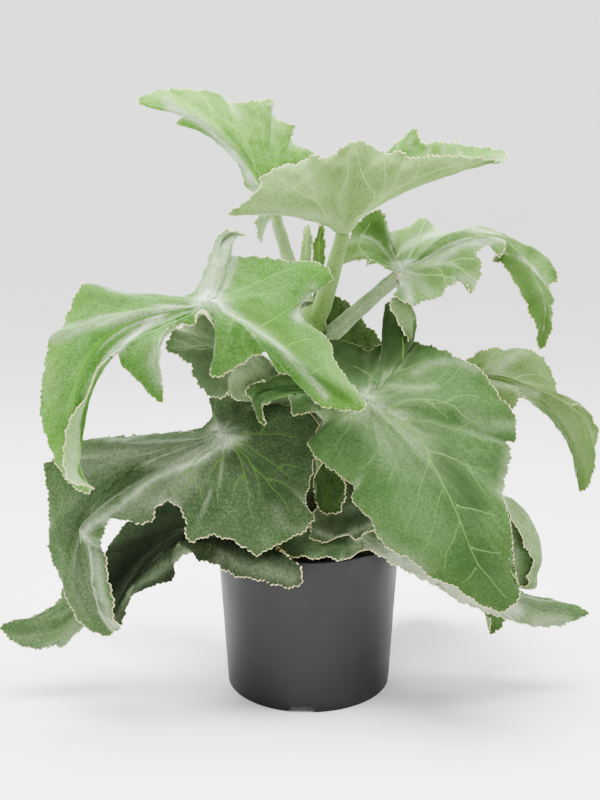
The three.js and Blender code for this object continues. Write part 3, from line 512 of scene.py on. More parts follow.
def stalkParts(leaf, seed):
    # the stalk from the junction to the stem: rings round a smooth path, pushed out of the stem to its skin
    path = seenAt(leaf["petiole"])
    knots = np.arange(len(path))
    length = np.linalg.norm(np.diff(path, axis=0), axis=1).sum()
    along = np.linspace(0, knots[-1], max(6, round(length / stalkRings["pitch"])))
    centre = smoothThrough(knots, path, along)
    radius = np.interp(along, knots, leaf["stalk"])
    heading = np.gradient(centre, axis=0)
    heading /= np.linalg.norm(heading, axis=1)[:, None]
    across = np.cross(heading, [0, 1, 0])
    across /= np.linalg.norm(across, axis=1)[:, None]
    ring = ringsRound(across, np.cross(across, heading), stalkRings["sides"])
    flat = (centre[:, None] + radius[:, None, None] * ring).reshape(-1, 3)
    outward = ring.reshape(-1, 3)
    flat = flat + outward * (softNoise(flat, stalkRings["lump"], seed + 5) * stalkRings["high"])[:, None]
    ends = np.stack([centre[0] - heading[0] * radius[0] * stalkRings["cap"], centre[-1]])
    flat = clearOfStem(np.concatenate([flat, ends]))
    faces = tubeFaces(len(along), stalkRings["sides"])
    tube = faces[0]
    spin = np.cross(flat[tube[:, 1]] - flat[tube[:, 0]], flat[tube[:, 3]] - flat[tube[:, 0]])
    if (spin * outward[tube[:, 0]]).sum() < 0:
        faces = [corners[:, ::-1] for corners in faces]
    return flat, faces


stemShape = {
    "heights": (106, 152, 205, 260, 320, 372, 404),
    "across": (0, 0, -1.5, 1, 3, 4, 4),
    "radii": (17, 17, 16, 15, 14.5, 13.5, 9),
    "sides": 72, "pitch": 1.6, "inset": 0.35, "lump": 9, "high": 0.35, "highest": 0.3,
}


def stemAt(heights):
    # the stem's middle, across, and the radius of its skin at some heights
    heights = np.clip(heights, stemShape["heights"][0], stemShape["heights"][-1])
    middle = smoothThrough(stemShape["heights"], stemShape["across"], heights)
    return middle, smoothThrough(stemShape["heights"], stemShape["radii"], heights)


def offStem(points):
    # distance from the stem's skin, measured level
    middle, wall = stemAt(points[:, 2])
    return np.hypot(points[:, 0] - middle, points[:, 1]) - wall


def clearOfStem(points):
    # points nearer to the stem's axis than its skin and the gap are set out to there
    middle, wall = stemAt(points[:, 2])
    wall = wall + stalkRings["gap"]
    away = points[:, :2] - np.stack([middle, np.zeros(len(points))], axis=1)
    far = np.linalg.norm(away, axis=1)
    inside = (far < wall) & (points[:, 2] < stemShape["heights"][-1])
    scale = np.where(inside, wall / np.maximum(far, 0.5), 1)
    result = points.copy()
    result[:, :2] += away * (scale - 1)[:, None]
    return result


# what each leaf has, in millimetres: `rim`, `junction` and `petiole` places as (across, up, depth) in the
# view, `ribs` and `turns` with the rim point they belong to first, veins and folds as lines (across, up)
# in the view, the stalk's radii, and tones in screen values. A fold above 0 lays felt tone that partly paints
# sheen, and one below 0 paints shade. Each leaf's tones are set to how it looks as lit, so besides its own
# colour they hold painted light and shade: lighter greens where a leaf is lit from above, darker ones where
# it lies in the shade of others.
leaves = {
    "leafLeftUpper": {
        "junction": (-98, 395, -78), "stalk": (6.5, 7.5, 9), "felt": 0.55, "green": (69, 114, 38),
        "pale": (108, 146, 78), "tip": (90, 138, 42), "fleece": (186, 198, 174), "spokes": [13.3],
        "petiole": [(-97, 393, -70), (-60, 374, -42), (-14, 352, -4)],
        "rim": [(-76, 446, -40), (-72, 462, -36), (-61, 465, -42), (-86, 467, -34), (-106, 422, -50),
         (-120, 405, -62), (-160, 401, -50), (-200, 412, -36), (-226, 414, -52), (-247, 369, -72),
         (-258, 361, -78), (-271, 300, -92), (-266, 258, -101), (-252, 221, -110), (-234, 203, -118),
         (-220, 207, -122), (-246, 216, -127), (-250, 248, -124), (-241, 281, -119), (-226, 301, -114),
         (-211, 331, -110), (-190, 347, -104), (-187, 334, -106), (-169, 316, -108), (-156, 301, -108),
         (-146, 301, -107), (-150, 340, -104), (-143, 366, -101), (-130, 376, -98), (-114, 376, -96),
         (-112, 387, -93), (-102, 388, -92), (-90, 362, -94), (-98, 326, -98), (-80, 328, -100),
         (-55, 345, -100), (-35, 350, -98), (-26, 341, -98), (-30, 329, -97), (-9, 321, -98),
         (8, 296, -102), (42, 289, -104), (58, 292, -103), (45, 312, -90), (27, 339, -80), (19, 362, -66),
         (-8, 387, -58), (3, 408, -48), (24, 423, -38), (8, 438, -30), (-28, 441, -32), (-73, 445, -37)],
        "ribs": [(0, -84, 420, -58), (2, -88, 432, -54), (4, -102, 408, -64), (7, -148, 403, -70),
         (9, -172, 390, -80), (10, -186, 386, -85), (11, -200, 378, -91), (12, -207, 369, -95),
         (13, -211, 358, -98), (14, -214, 346, -100), (15, -214, 337, -102), (16, -212, 331, -104),
         (17, -208, 334, -105), (18, -203, 339, -105), (19, -199, 342, -104.5), (20, -194, 345, -104),
         (21, -172, 362, -101), (22, -168, 358, -103), (23, -161, 353, -105), (24, -154, 352, -105),
         (25, -149, 356, -104), (26, -140, 368, -101), (27, -130, 379, -97), (28, -117, 386, -92),
         (29, -107, 388, -89), (30, -105, 391.5, -86), (31, -99.5, 391.5, -85), (32, -94, 382, -90),
         (33, -93, 368, -97), (34, -86, 370, -99), (36, -68, 376, -100), (38, -57, 367, -103),
         (40, -46, 356, -106), (42, -28, 351, -108), (43, -28, 357, -101), (45, -32, 372, -88),
         (48, -40, 402, -68), (51, -82, 418, -56)],
        "turns": [(2, -79, 469, -30), (15, -234, 222, -116), (16, -237, 227, -118), (17, -236, 252, -114),
         (18, -231, 276, -110), (19, -222, 302, -106), (20, -204, 334, -104)],
        "veins": [[(-101, 396), (-138, 394), (-168, 389), (-199, 382), (-225, 374), (-246, 368)],
         [(-94, 395), (-72, 387), (-51, 372), (-25, 352), (-1, 324), (25, 302), (49, 293)],
         [(-92, 400), (-72, 408), (-40, 423), (-7, 436)], [(-96, 405), (-90, 430), (-84, 455)],
         [(-112, 393), (-138, 385), (-149, 367), (-153, 341), (-151, 315)]],
        "veinlets": [[(-101, 397), (-120, 400), (-151, 403), (-173, 405), (-197, 408)],
         [(-168, 389), (-188, 392), (-215, 398)], [(-94, 398), (-51, 406), (-29, 408)],
         [(-72, 387), (-81, 363), (-88, 341)], [(-51, 372), (-30, 385), (-8, 400)],
         [(-25, 352), (-8, 360), (12, 362)], [(-1, 324), (12, 332), (30, 328)],
         [(-60, 378), (-66, 360), (-60, 345)]],
        "folds": [(1.0, 2.2, 0.32, 5.5, [(-194, 347), (-173, 366), (-147, 386), (-122, 394), (-97, 397),
          (-76, 387), (-56, 374), (-31, 356), (-14, 339), (3, 321), (18, 304)]),
         (0.6, 11, [(-99, 402), (-90, 431), (-80, 456)]),
         (0.55, 5, [(-188, 418), (-159, 409), (-137, 405), (-105, 402)]),
         (0.4, 6, [(-254, 364), (-238, 368), (-219, 376), (-181, 383), (-139, 392)]),
         (0.45, 6, [(-12, 383), (-5, 396), (7, 408)]), (0.4, 6, [(-144, 362), (-153, 341), (-150, 315)]),
         (-0.5, 14, [(-224, 400), (-210, 402), (-189, 398)]),
         (-0.95, 14, [(-56, 387), (-19, 359), (10, 331), (37, 309)]),
         (-0.3, 16, [(-70, 419), (-34, 422), (-4, 419)]), (-0.35, 8, [(-242, 293), (-258, 267)]),
         (-0.35, 8, [(-5, 370), (15, 383)]), (-0.3, 9, [(-77, 349), (-86, 334)])],
    },
    "leafLeftLower": {
        "junction": (-86, 264, -70), "stalk": (6.5, 7.5, 9), "felt": 0.7, "green": (57, 78, 46),
        "pale": (126, 144, 98), "tip": (58, 88, 34), "fleece": (166, 178, 152), "veinTone": (82, 113, 56),
        "petiole": [(-84, 264, -62), (-50, 255, -36), (-13, 240, -4)],
        "rim": [(-62, 311, -48), (-78, 309, -44), (-100, 302, -46), (-97, 284, -56), (-110, 271, -58),
         (-139, 265, -50), (-182, 263, -42), (-211, 261, -48), (-236, 256, -58), (-262, 237, -62),
         (-271, 232, -64), (-268, 200, -72), (-268, 170, -76), (-271, 138, -80), (-258, 105, -84),
         (-256, 86, -88), (-236, 54, -92), (-215, 44, -96), (-199, 53, -100), (-204, 64, -108),
         (-205, 86, -110), (-210, 105, -110), (-211, 133, -108), (-215, 144, -101), (-211, 159, -104),
         (-204, 174, -108), (-188, 171, -112), (-163, 170, -112), (-158, 184, -110), (-146, 193, -108),
         (-133, 184, -108), (-127, 170, -107), (-124, 150, -108), (-100, 156, -108), (-78, 150, -108),
         (-62, 139, -110), (-52, 133, -110), (-41, 140, -106), (-12, 156, -100), (5, 174, -88),
         (-3, 190, -82), (1, 208, -74), (5, 235, -64), (7, 258, -54), (8, 280, -48), (-14, 292, -50),
         (-42, 297, -46)],
        "ribs": [(0, -74, 288, -60), (2, -91, 284, -60), (4, -98, 268, -64), (6, -135, 258, -66),
         (8, -160, 252, -74), (10, -180, 240, -80), (12, -194, 228, -86), (13, -203, 217, -90),
         (14, -211, 206, -92), (15, -216, 197, -94), (16, -219, 190, -95), (17, -222, 184, -96),
         (18, -224, 180, -97), (19, -224, 178, -98.5), (20, -223, 178, -99.5), (21, -222, 179, -100),
         (22, -220, 180, -101), (23, -217, 183, -102), (24, -211, 188, -103), (25, -196, 197, -103),
         (27, -160, 207, -103), (29, -120, 218, -99), (33, -92, 208, -96), (36, -68, 200, -96),
         (38, -50, 208, -90), (40, -44, 230, -80), (43, -42, 262, -70), (46, -66, 284, -61)],
        "turns": [(15, -248, 120, -90), (16, -243, 92, -93), (17, -227, 72, -97), (18, -215, 67, -100),
         (19, -220, 76, -101), (20, -226, 93, -102), (21, -229, 112, -102), (22, -232, 140, -102),
         (23, -233, 154, -102)],
        "veins": [[(-88, 258), (-95, 252), (-107, 242), (-118, 232), (-133, 220)],
         [(-81, 256), (-87, 241), (-91, 219), (-93, 206), (-94, 190)],
         [(-78, 254), (-70, 239), (-66, 223), (-62, 200), (-60, 180)],
         [(-76, 254), (-60, 234), (-46, 219), (-38, 208), (-29, 198), (-20, 182)],
         [(-73, 258), (-51, 243), (-31, 230), (-18, 217)], [(-70, 264), (-50, 265), (-30, 264), (-12, 260)],
         [(-92, 272), (-95, 288), (-92, 300)]],
        "veinlets": [[(-118, 232), (-119, 218), (-111, 204), (-110, 195)],
         [(-120, 228), (-130, 205), (-146, 200)], [(-87, 241), (-100, 225), (-104, 210)],
         [(-66, 223), (-74, 212), (-78, 198)], [(-60, 234), (-52, 215), (-50, 200)],
         [(-46, 219), (-30, 214), (-16, 206)], [(-31, 230), (-22, 232), (-8, 228)],
         [(-50, 265), (-40, 275), (-30, 282)]],
        "folds": [(1.0, 2.2, 0.5, 6, [(-78, 253), (-93, 249), (-108, 239), (-135, 227), (-162, 214),
          (-177, 202), (-197, 186), (-214, 174), (-226, 166), (-233, 156)]),
         (0.28, 12, [(-120, 218), (-143, 202), (-162, 190), (-186, 180)]),
         (0.38, 8, [(-145, 184), (-132, 178), (-119, 158)]),
         (0.3, 14, [(-104, 253), (-142, 243), (-180, 245), (-212, 237), (-229, 231)]),
         (0.3, 3, [(-113, 247), (-142, 233), (-169, 231)]), (0.5, 5, [(-85, 257), (-90, 268)]),
         (0.4, 5, [(-74, 257), (-64, 262)]), (0.18, 5, [(-33, 184), (-21, 164), (-2, 161)]),
         (1.0, 1.3, [(-235, 161), (-229, 145), (-226, 123), (-225, 101), (-222, 79), (-215, 62),
          (-207, 50)]), (0.55, 5.5, [(-221, 136), (-219, 113), (-216, 90), (-211, 71), (-205, 55)]),
         (0.9, 1.0, [(-235, 161), (-231, 154), (-225, 147), (-218, 143), (-213, 141)]),
         (-0.4, 16, [(-66, 239), (-38, 219), (-29, 200)]), (-0.35, 12, [(-68, 150), (-87, 162)]),
         (-0.3, 10, [(-142, 219), (-177, 208), (-200, 190)]),
         (-1.0, 2, [(-212, 200), (-208, 204), (-202, 209), (-195, 216), (-188, 221), (-180, 227),
          (-173, 231)])],
    },
    "leafRightFront": {
        "junction": (60, 296, -72), "stalk": (7, 8, 9.5), "felt": 0.65, "green": (68, 98, 52),
        "pale": (126, 151, 101), "tip": (54, 82, 30), "fleece": (144, 162, 128), "veinTone": (95, 127, 68),
        "sheen": 0.5, "petiole": [(59, 297, -64), (38, 300, -40), (14, 294, -6)],
        "rim": [(98, 352, -24), (97, 362, -36), (88, 380, -34), (81, 396, -28), (82, 404, -19),
         (73, 387, -2), (77, 360, -6), (68, 355, -12), (58, 350, -14), (48, 357, -12), (20, 361, -14),
         (-5, 345, -34), (-30, 325, -58), (-62, 313, -64), (-56, 296, -62), (-50, 277, -66),
         (-43, 275, -68), (-47, 292, -68), (-41, 296, -68), (-30, 304, -68), (-19, 303, -68),
         (-16, 284, -76), (4, 287, -80), (16, 275, -78), (1, 253, -82), (14, 234, -86), (31, 221, -90),
         (48, 206, -95), (46, 194, -98), (64, 172, -108), (70, 157, -113), (84, 141, -120),
         (108, 128, -128), (130, 108, -135), (150, 100, -140), (175, 82, -146), (200, 71, -150),
         (214, 77, -149), (222, 92, -145), (216, 120, -138), (210, 165, -120), (200, 200, -104),
         (205, 228, -96), (206, 247, -88), (202, 255, -84), (211, 258, -82), (208, 284, -72),
         (195, 300, -64), (172, 331, -48), (150, 343, -38), (125, 354, -30), (106, 359, -26)],
        "ribs": [(0, 82, 323, -54), (1, 84, 328, -52), (2, 85, 332, -49), (3, 83, 335, -46),
         (4, 79, 336, -44), (5, 74, 335, -42), (6, 69, 330, -43), (8, 58, 325, -46), (10, 42, 325, -50),
         (12, 5, 322, -64), (13, 0, 316, -68), (14, -8, 313, -71), (15, -10, 311, -72),
         (16, -9, 309.5, -73), (17, -8, 308.5, -73.5), (18, -2, 307, -74), (19, 4, 306, -75),
         (20, 12, 304, -77), (21, 22, 297, -81), (22, 30, 292, -84), (24, 30, 274, -88),
         (27, 60, 245, -100), (31, 88, 215, -112), (36, 133, 210, -124), (38, 140, 214, -120),
         (41, 137, 245, -100), (44, 135, 275, -88), (46, 137, 292, -84), (48, 118, 315, -64),
         (51, 86, 326, -54)],
        "turns": [(1, 104, 360, -30), (2, 105, 375, -28), (3, 104, 389, -24), (4, 96, 399, -18),
         (14, -52, 306, -66), (15, -52, 300, -68), (16, -50, 298, -69), (17, -46, 299, -70)],
        "veins": [[(66, 292), (83, 285), (96, 276), (108, 266), (117, 253), (125, 235), (142, 203),
          (154, 178), (167, 145), (177, 124), (192, 106), (208, 86)],
         [(96, 276), (108, 279), (125, 277), (146, 270), (165, 262), (178, 257)],
         [(68, 293), (79, 291), (96, 298), (117, 300), (135, 297), (150, 290), (158, 281), (174, 273)],
         [(67, 300), (81, 313), (100, 311), (117, 310), (133, 313), (146, 325), (152, 333)],
         [(121, 247), (146, 239), (162, 231), (173, 228), (183, 224)],
         [(66, 300), (72, 315), (88, 330), (95, 350), (92, 372)],
         [(60, 290), (50, 284), (30, 283), (10, 280)],
         [(56, 298), (35, 302), (12, 306), (-20, 306), (-46, 288)]],
        "veinlets": [[(162, 231), (171, 216), (181, 203)],
         [(124, 240), (119, 222), (115, 208), (110, 183), (100, 165)],
         [(138, 206), (133, 189), (129, 162), (120, 140)], [(155, 173), (152, 156), (144, 137), (142, 120)],
         [(154, 187), (179, 181), (194, 176)], [(92, 278), (96, 254), (90, 237), (84, 215)],
         [(80, 284), (78, 262), (70, 245), (55, 228)], [(135, 297), (150, 303), (170, 303)],
         [(117, 310), (128, 318), (140, 330)], [(146, 270), (158, 273), (176, 280)],
         [(177, 124), (170, 112), (162, 104)], [(168, 142), (184, 138), (200, 136)],
         [(117, 300), (130, 290), (140, 282)], [(72, 315), (60, 326), (46, 334)],
         [(84, 327), (100, 332), (118, 340)], [(35, 302), (25, 320), (8, 330)],
         [(50, 284), (40, 268), (28, 252)]],
        "folds": [(0.9, 2.4, 0.5, 5, [(55, 300), (68, 294), (86, 285), (98, 277)]),
         (0.5, 3.5, [(57, 307), (68, 313), (82, 314), (105, 312), (128, 313)]),
         (0.45, 5, [(106, 327), (127, 338), (150, 339), (166, 331)]),
         (0.5, 3.5, [(72, 320), (89, 332), (100, 346), (104, 359)]), (0.35, 5, [(75, 346), (73, 328)]),
         (0.35, 7, [(163, 279), (187, 273), (210, 275)]), (0.5, 6, [(204, 243), (201, 220), (199, 202)]),
         (0.4, 9, [(10, 291), (26, 287), (45, 285)]), (0.26, 26, [(62, 293), (90, 261), (118, 249)]),
         (0.25, 9, [(72, 150), (92, 140), (120, 121)]),
         (-1.0, 27, [(29, 350), (45, 334), (62, 342), (89, 354)]),
         (-0.6, 11, [(74, 400), (77, 371), (77, 342)]), (-0.35, 9, [(100, 336), (115, 354), (127, 357)]),
         (-0.35, 5, [(72, 303), (97, 305)]), (-0.85, 17, [(137, 235), (158, 212), (170, 188)]),
         (-0.35, 8, [(184, 235), (196, 245)]), (-0.35, 26, [(180, 129), (197, 97)])],
    },
    "leafRightUpper": {
        # its green, felt and fleece are raised: partly its own pale felt, partly painted light and sheen on
        # its body, which is seen lit at a grazing angle
        "junction": (93, 427, -8), "stalk": (6.8, 7.6, 9), "felt": 0.58, "green": (112, 150, 80),
        "pale": (94, 130, 53), "tip": (70, 110, 28), "fleece": (210, 221, 198), "stalkFeltShade": 0.4,
        "petiole": [(90, 426, -4), (55, 396, 0), (18, 362, 0)],
        "rim": [(91, 423, -10), (90, 412, -16), (84, 405, -20), (104, 396, -30), (118, 401, -36),
         (131, 403, -40), (137, 413, -40), (150, 419, -40), (157, 414, -42), (161, 407, -44),
         (168, 420, -40), (170, 434, -36), (166, 447, -30), (176, 455, -26), (188, 443, -30),
         (193, 458, -20), (182, 441, -8), (192, 434, -14), (213, 401, -20), (226, 372, -24),
         (230, 351, -26), (240, 362, -22), (243, 378, -18), (241, 392, -14), (244, 400, -12),
         (238, 413, -8), (246, 423, -4), (237, 440, 2), (220, 448, 8), (196, 463, 14), (170, 472, 22),
         (148, 468, 28), (130, 469, 34), (112, 482, 36), (97, 474, 30), (79, 468, 20), (76, 477, 20),
         (69, 490, 18), (50, 480, 16), (38, 460, 10), (34, 449, 2), (33, 438, -4), (54, 441, -6),
         (57, 434, -8), (61, 441, -8), (74, 433, -8), (89, 427, -8)],
        "ribs": [(0, 92, 425, -9), (2, 92, 416, -13), (4, 104, 418, -22), (7, 122, 428, -30),
         (10, 132, 438, -30), (12, 130, 447, -28), (13, 138, 453, -25), (14, 146, 457, -22),
         (15, 150, 459, -18), (16, 155, 461, -12), (17, 160, 462, -9), (18, 163, 463, -7),
         (20, 166, 464, -4), (24, 166, 465, 0), (28, 155, 465, 4), (31, 120, 458, 12), (33, 105, 458, 14),
         (35, 87, 449, 6), (37, 82, 452, 8), (40, 68, 450, 2), (43, 72, 438, -6), (46, 91, 427, -8)],
        "turns": [(13, 168, 458, -24), (14, 182, 459, -26), (15, 186, 461, -20), (16, 189, 452, -8),
         (17, 199, 451, -8), (18, 218, 430, -10), (19, 228, 408, -14), (20, 234, 395, -16)],
        "veins": [[(97, 431), (104, 435), (117, 441), (131, 451), (146, 457), (160, 458), (174, 459),
          (186, 462), (196, 462)], [(87, 443), (94, 453), (106, 459), (120, 464), (130, 468)],
         [(95, 430), (100, 417), (103, 407), (101, 400)],
         [(100, 431), (120, 437), (137, 438), (151, 431), (160, 422)],
         [(84, 432), (66, 438), (50, 452), (60, 475)]],
        "veinlets": [[(101, 434), (117, 438), (131, 446), (150, 452)], [(103, 426), (124, 426), (146, 422)],
         [(131, 451), (140, 462), (152, 468)], [(137, 438), (152, 442), (164, 440)],
         [(106, 459), (110, 470), (114, 478)], [(120, 437), (132, 428), (136, 416)]],
        "folds": [(0.85, 4.2, [(87, 435), (109, 436), (131, 443), (149, 455), (169, 458), (192, 462)]),
         (0.55, 4, [(86, 444), (96, 454), (109, 461), (129, 466), (160, 469), (186, 464)]),
         (0.65, 5, [(90, 428), (96, 417), (100, 402)]), (0.35, 5, [(144, 420), (156, 423), (165, 417)]),
         (0.3, 6, [(92, 431), (106, 423), (118, 408)]),
         (1.0, 1.2, [(193, 447), (208, 442), (220, 433), (225, 424)]),
         (-0.9, 8, [(195, 462), (209, 456), (218, 450)]), (-0.9, 5, [(240, 436), (243, 427)]),
         (-0.5, 5, [(112, 442), (130, 450), (152, 459)]), (-0.4, 13, [(121, 425), (141, 428), (161, 433)]),
         (-0.35, 9, [(103, 469), (117, 474)]), (-0.9, 15, [(65, 474), (74, 458), (83, 443)]),
         (0.8, 1.8, [(52, 464), (64, 460), (74, 450), (82, 438), (90, 429)]),
         (0.7, 1.8, [(76, 474), (80, 457), (85, 443), (90, 433)]),
         (-0.9, 17, [(192, 443), (209, 424), (223, 399), (234, 373), (232, 354)])],
    },
    "leafTopFront": {
        "junction": (34, 471, -30), "stalk": (6.5, 8, 9.5, 11), "felt": 0.3, "green": (88, 132, 52),
        "pale": (126, 157, 93), "tip": (96, 138, 53), "stalkFeltShade": -0.35, "underside": True,
        "petiole": [(34, 468, -28), (24, 430, -16), (14, 398, -8), (4, 376, 0)],
        "rim": [(18, 474, -34), (-17, 484, -42), (-50, 486, -50), (-78, 484, -56), (-60, 499, -54),
         (-46, 513, -50), (-44, 521, -48), (-28, 530, -44), (-8, 534, -40), (4, 541, -42), (20, 539, -44),
         (38, 552, -44), (53, 554, -46), (72, 544, -46), (92, 543, -46), (98, 539, -46), (130, 541, -44),
         (165, 538, -40), (191, 536, -36), (186, 546, -18), (160, 549, -10), (131, 554, -4), (109, 553, 0),
         (103, 567, 5), (84, 552, 8), (60, 535, 18), (20, 520, 26), (-20, 508, 24), (-50, 484, 14),
         (-46, 458, 8), (-35, 486, 10), (4, 488, 0), (26, 474, -16)],
        "ribs": [(0, 27, 473, -31), (1, 8, 478, -37), (2, -8, 482, -42), (3, -20, 486, -46),
         (5, -4, 495, -46), (8, 14, 502, -44), (11, 36, 512, -48), (13, 52, 506, -50), (16, 78, 505, -46),
         (18, 104, 511, -38), (20, 92, 515, -22), (23, 66, 512, -8), (25, 46, 505, 0), (27, 8, 491, 4),
         (28, -4, 487, 3), (29, -6, 490, 2), (30, 2, 487, -3), (32, 30, 473, -22)],
        "turns": [(29, -43, 480, 11)],
        "veins": [[(33, 473), (30, 484), (29, 502), (25, 521), (23, 537)],
         [(37, 476), (54, 488), (64, 502), (57, 513), (50, 529), (46, 545)],
         [(30, 475), (19, 483), (8, 497), (3, 510), (-8, 526)],
         [(24, 477), (3, 480), (-35, 496), (-55, 499)],
         [(44, 478), (60, 486), (73, 502), (100, 517), (127, 528), (160, 534)]],
        "veinlets": [[(68, 500), (74, 516), (73, 536)], [(29, 502), (38, 520), (38, 540)],
         [(8, 497), (-10, 506), (-28, 520)], [(100, 517), (105, 526), (108, 536)],
         [(54, 488), (80, 512), (92, 532)]],
        "folds": [(0.5, 2.5, [(97, 557), (98, 548)]), (0.45, 2.5, [(115, 553), (117, 544)]),
         (0.4, 2.5, [(129, 551), (131, 544)]), (0.4, 2.5, [(143, 550), (146, 542)]),
         (0.8, 9, [(-46, 459), (-44, 470), (-42, 482)]), (0.4, 6, [(-50, 488), (-20, 486), (20, 482)]),
         (0.35, 8, [(60, 478), (90, 500), (130, 520)])],
    },
    "leafTopLeft": {
        "junction": (-38, 500, 30), "stalk": (5.8, 6.5, 8), "felt": 0.45, "green": (108, 159, 63),
        "pale": (134, 162, 104), "tip": (110, 158, 60), "fleece": (208, 218, 200),
        "petiole": [(-36, 496, 32), (-24, 455, 22), (-2, 378, 4)],
        "rim": [(-15, 500, 35), (10, 525, 40), (8, 542, 40), (-12, 552, 38), (-17, 560, 36), (-13, 569, 36),
         (-30, 575, 32), (-40, 586, 28), (-33, 593, 30), (-55, 592, 24), (-75, 590, 20), (-90, 600, 16),
         (-120, 603, 8), (-146, 601, 2), (-161, 594, -4), (-158, 587, -6), (-140, 591, 2), (-120, 580, 6),
         (-126, 570, 6), (-106, 573, 10), (-86, 550, 14), (-72, 546, 16), (-64, 517, 20), (-56, 507, 22),
         (-45, 495, 24)],
        "ribs": [(0, -28, 500, 34), (2, -18, 525, 34), (5, -28, 538, 28), (8, -40, 545, 22),
         (11, -62, 552, 12), (12, -70, 556, 8), (13, -79, 561, 5), (14, -86, 563, 2), (15, -87, 560, 2),
         (16, -84, 556, 4), (17, -78, 550, 6), (18, -76, 546, 7), (19, -70, 538, 9), (20, -62, 527, 13),
         (21, -56, 520, 16), (22, -50, 511, 20), (23, -46, 506, 24), (24, -42, 499, 28)],
        "veins": [[(-42, 506), (-52, 520), (-66, 542), (-84, 561), (-104, 578), (-117, 590), (-132, 598)],
         [(-38, 508), (-35, 521), (-32, 535), (-32, 547), (-34, 570)],
         [(-52, 520), (-54, 540), (-60, 553), (-70, 567), (-75, 580)], [(-32, 508), (-16, 528), (0, 540)]],
        "veinlets": [[(-60, 553), (-56, 564), (-50, 574)], [(-70, 567), (-84, 576), (-95, 588)],
         [(-32, 540), (-24, 550), (-16, 556)], [(-84, 561), (-92, 575), (-98, 590)],
         [(-33, 530), (-42, 545), (-46, 560)]],
        "folds": [(0.95, 4.5, [(-136, 589), (-121, 577), (-101, 569), (-84, 555), (-70, 540), (-60, 525),
          (-52, 508)])],
    },
    "leafBehindLeft": {
        "junction": (-62, 348, -40), "stalk": (5, 5.5, 7), "felt": 0.35, "green": (99, 119, 86),
        "pale": (132, 152, 114), "tip": (78, 102, 58), "fleece": (164, 180, 140), "spokes": [4],
        "petiole": [(-61, 347, -36), (-40, 334, -20), (-13, 318, -2)],
        "rim": [(-62, 361, -24), (-104, 396, -46), (-125, 375, -52), (-135, 370, -58), (-143, 352, -64),
         (-134, 347, -66), (-118, 335, -70), (-115, 322, -72), (-100, 304, -74), (-88, 302, -74),
         (-82, 306, -74), (-83, 307, -66), (-61, 294, -54), (-14, 290, -42), (-34, 334, -44)],
        "ribs": [(0, -61, 356, -36), (3, -98, 358, -54), (6, -95, 344, -64), (9, -82, 328, -66),
         (11, -72, 335, -58), (14, -50, 341, -42)],
        "folds": [(0.3, 14, [(-70, 332), (-50, 330)]), (-0.4, 12, [(-103, 326), (-99, 304)])],
    },
    "leafLowLeft": {
        # this leaf's near black green and tip tones are painted shade: its inside lies in deep shade under
        # leafLeftLower
        "junction": (-75, 172, -60), "stalk": (6, 7, 8.5), "felt": 0.1, "green": (23, 37, 12),
        "pale": (118, 132, 92), "tip": (28, 50, 10), "fleece": (126, 141, 112), "sheen": 0.15,
        "spokes": [4, 9, 16], "petiole": [(-73, 173, -54), (-45, 187, -34), (-14, 205, -5)],
        "rim": [(-60, 184, -40), (-110, 195, -26), (-150, 206, -20), (-175, 190, -25), (-187, 171, -30),
         (-206, 148, -40), (-212, 136, -48), (-222, 100, -60), (-212, 70, -72), (-198, 57, -80),
         (-186, 88, -78), (-174, 95, -78), (-160, 102, -80), (-141, 107, -82), (-139, 124, -84),
         (-123, 136, -88), (-114, 128, -94), (-100, 125, -98), (-76, 112, -106), (-47, 105, -111),
         (-19, 98, -115), (-7, 104, -116), (-8, 118, -112), (-26, 137, -100), (-36, 144, -92),
         (-44, 166, -78)],
        "ribs": [(0, -70, 180, -52), (3, -122, 182, -46), (5, -142, 165, -56), (8, -150, 148, -70),
         (12, -128, 152, -82), (15, -103, 152, -86), (18, -80, 148, -92), (20, -55, 142, -97),
         (23, -56, 156, -84), (25, -60, 170, -70)],
        "turns": [(9, -203, 75, -84), (10, -193, 86, -88), (11, -184, 99, -90), (12, -166, 116, -92),
         (13, -149, 131, -94), (14, -141, 139, -94), (15, -131, 147, -94)],
        "folds": [(0.5, 6, [(-205, 57), (-185, 94), (-145, 125), (-125, 135)]),
         (0.6, 9, [(-91, 131), (-56, 120), (-16, 110)]),
         (-0.9, 24, [(-196, 112), (-170, 142), (-144, 169)])],
    },
    "leafFarLeft": {
        "junction": (-225, 105, -22), "stalk": (5.5, 6.5, 7.5, 8.5), "felt": 0.3, "green": (60, 84, 47),
        "pale": (107, 125, 93), "tip": (70, 101, 48), "spokes": [3, 9],
        "petiole": [(-224, 106, -16), (-150, 150, 4), (-90, 178, 12), (-12, 186, 8)],
        "rim": [(-235, 140, -12), (-254, 118, -14), (-261, 86, -22), (-284, 70, -28), (-300, 63, -32),
         (-318, 60, -38), (-325, 53, -42), (-319, 42, -44), (-308, 33, -46), (-286, 28, -46),
         (-270, 32, -44), (-261, 31, -44), (-240, 50, -40), (-222, 62, -36), (-212, 88, -30)],
        "ribs": [(0, -230, 122, -16), (1, -240, 110, -18), (2, -244, 93, -22), (3, -252, 84, -24),
         (4, -258, 76, -26), (5, -263, 68, -28), (6, -265, 62, -30), (7, -264, 56, -32), (9, -254, 56, -32),
         (11, -243, 60, -32), (13, -224, 80, -30), (14, -219, 96, -26)],
    },
    "leafRightLow": {
        "junction": (45, 162, -55), "stalk": (6, 7, 8.5), "felt": 0.35, "green": (72, 95, 60),
        "pale": (165, 180, 133), "tip": (78, 110, 56), "fleece": (180, 190, 165), "spokes": [4, 11, 18, 24],
        "petiole": [(44, 164, -50), (28, 176, -32), (13, 188, -6)],
        "rim": [(22, 170, -50), (-15, 160, -64), (-31, 147, -80), (-26, 137, -89), (-14, 132, -95),
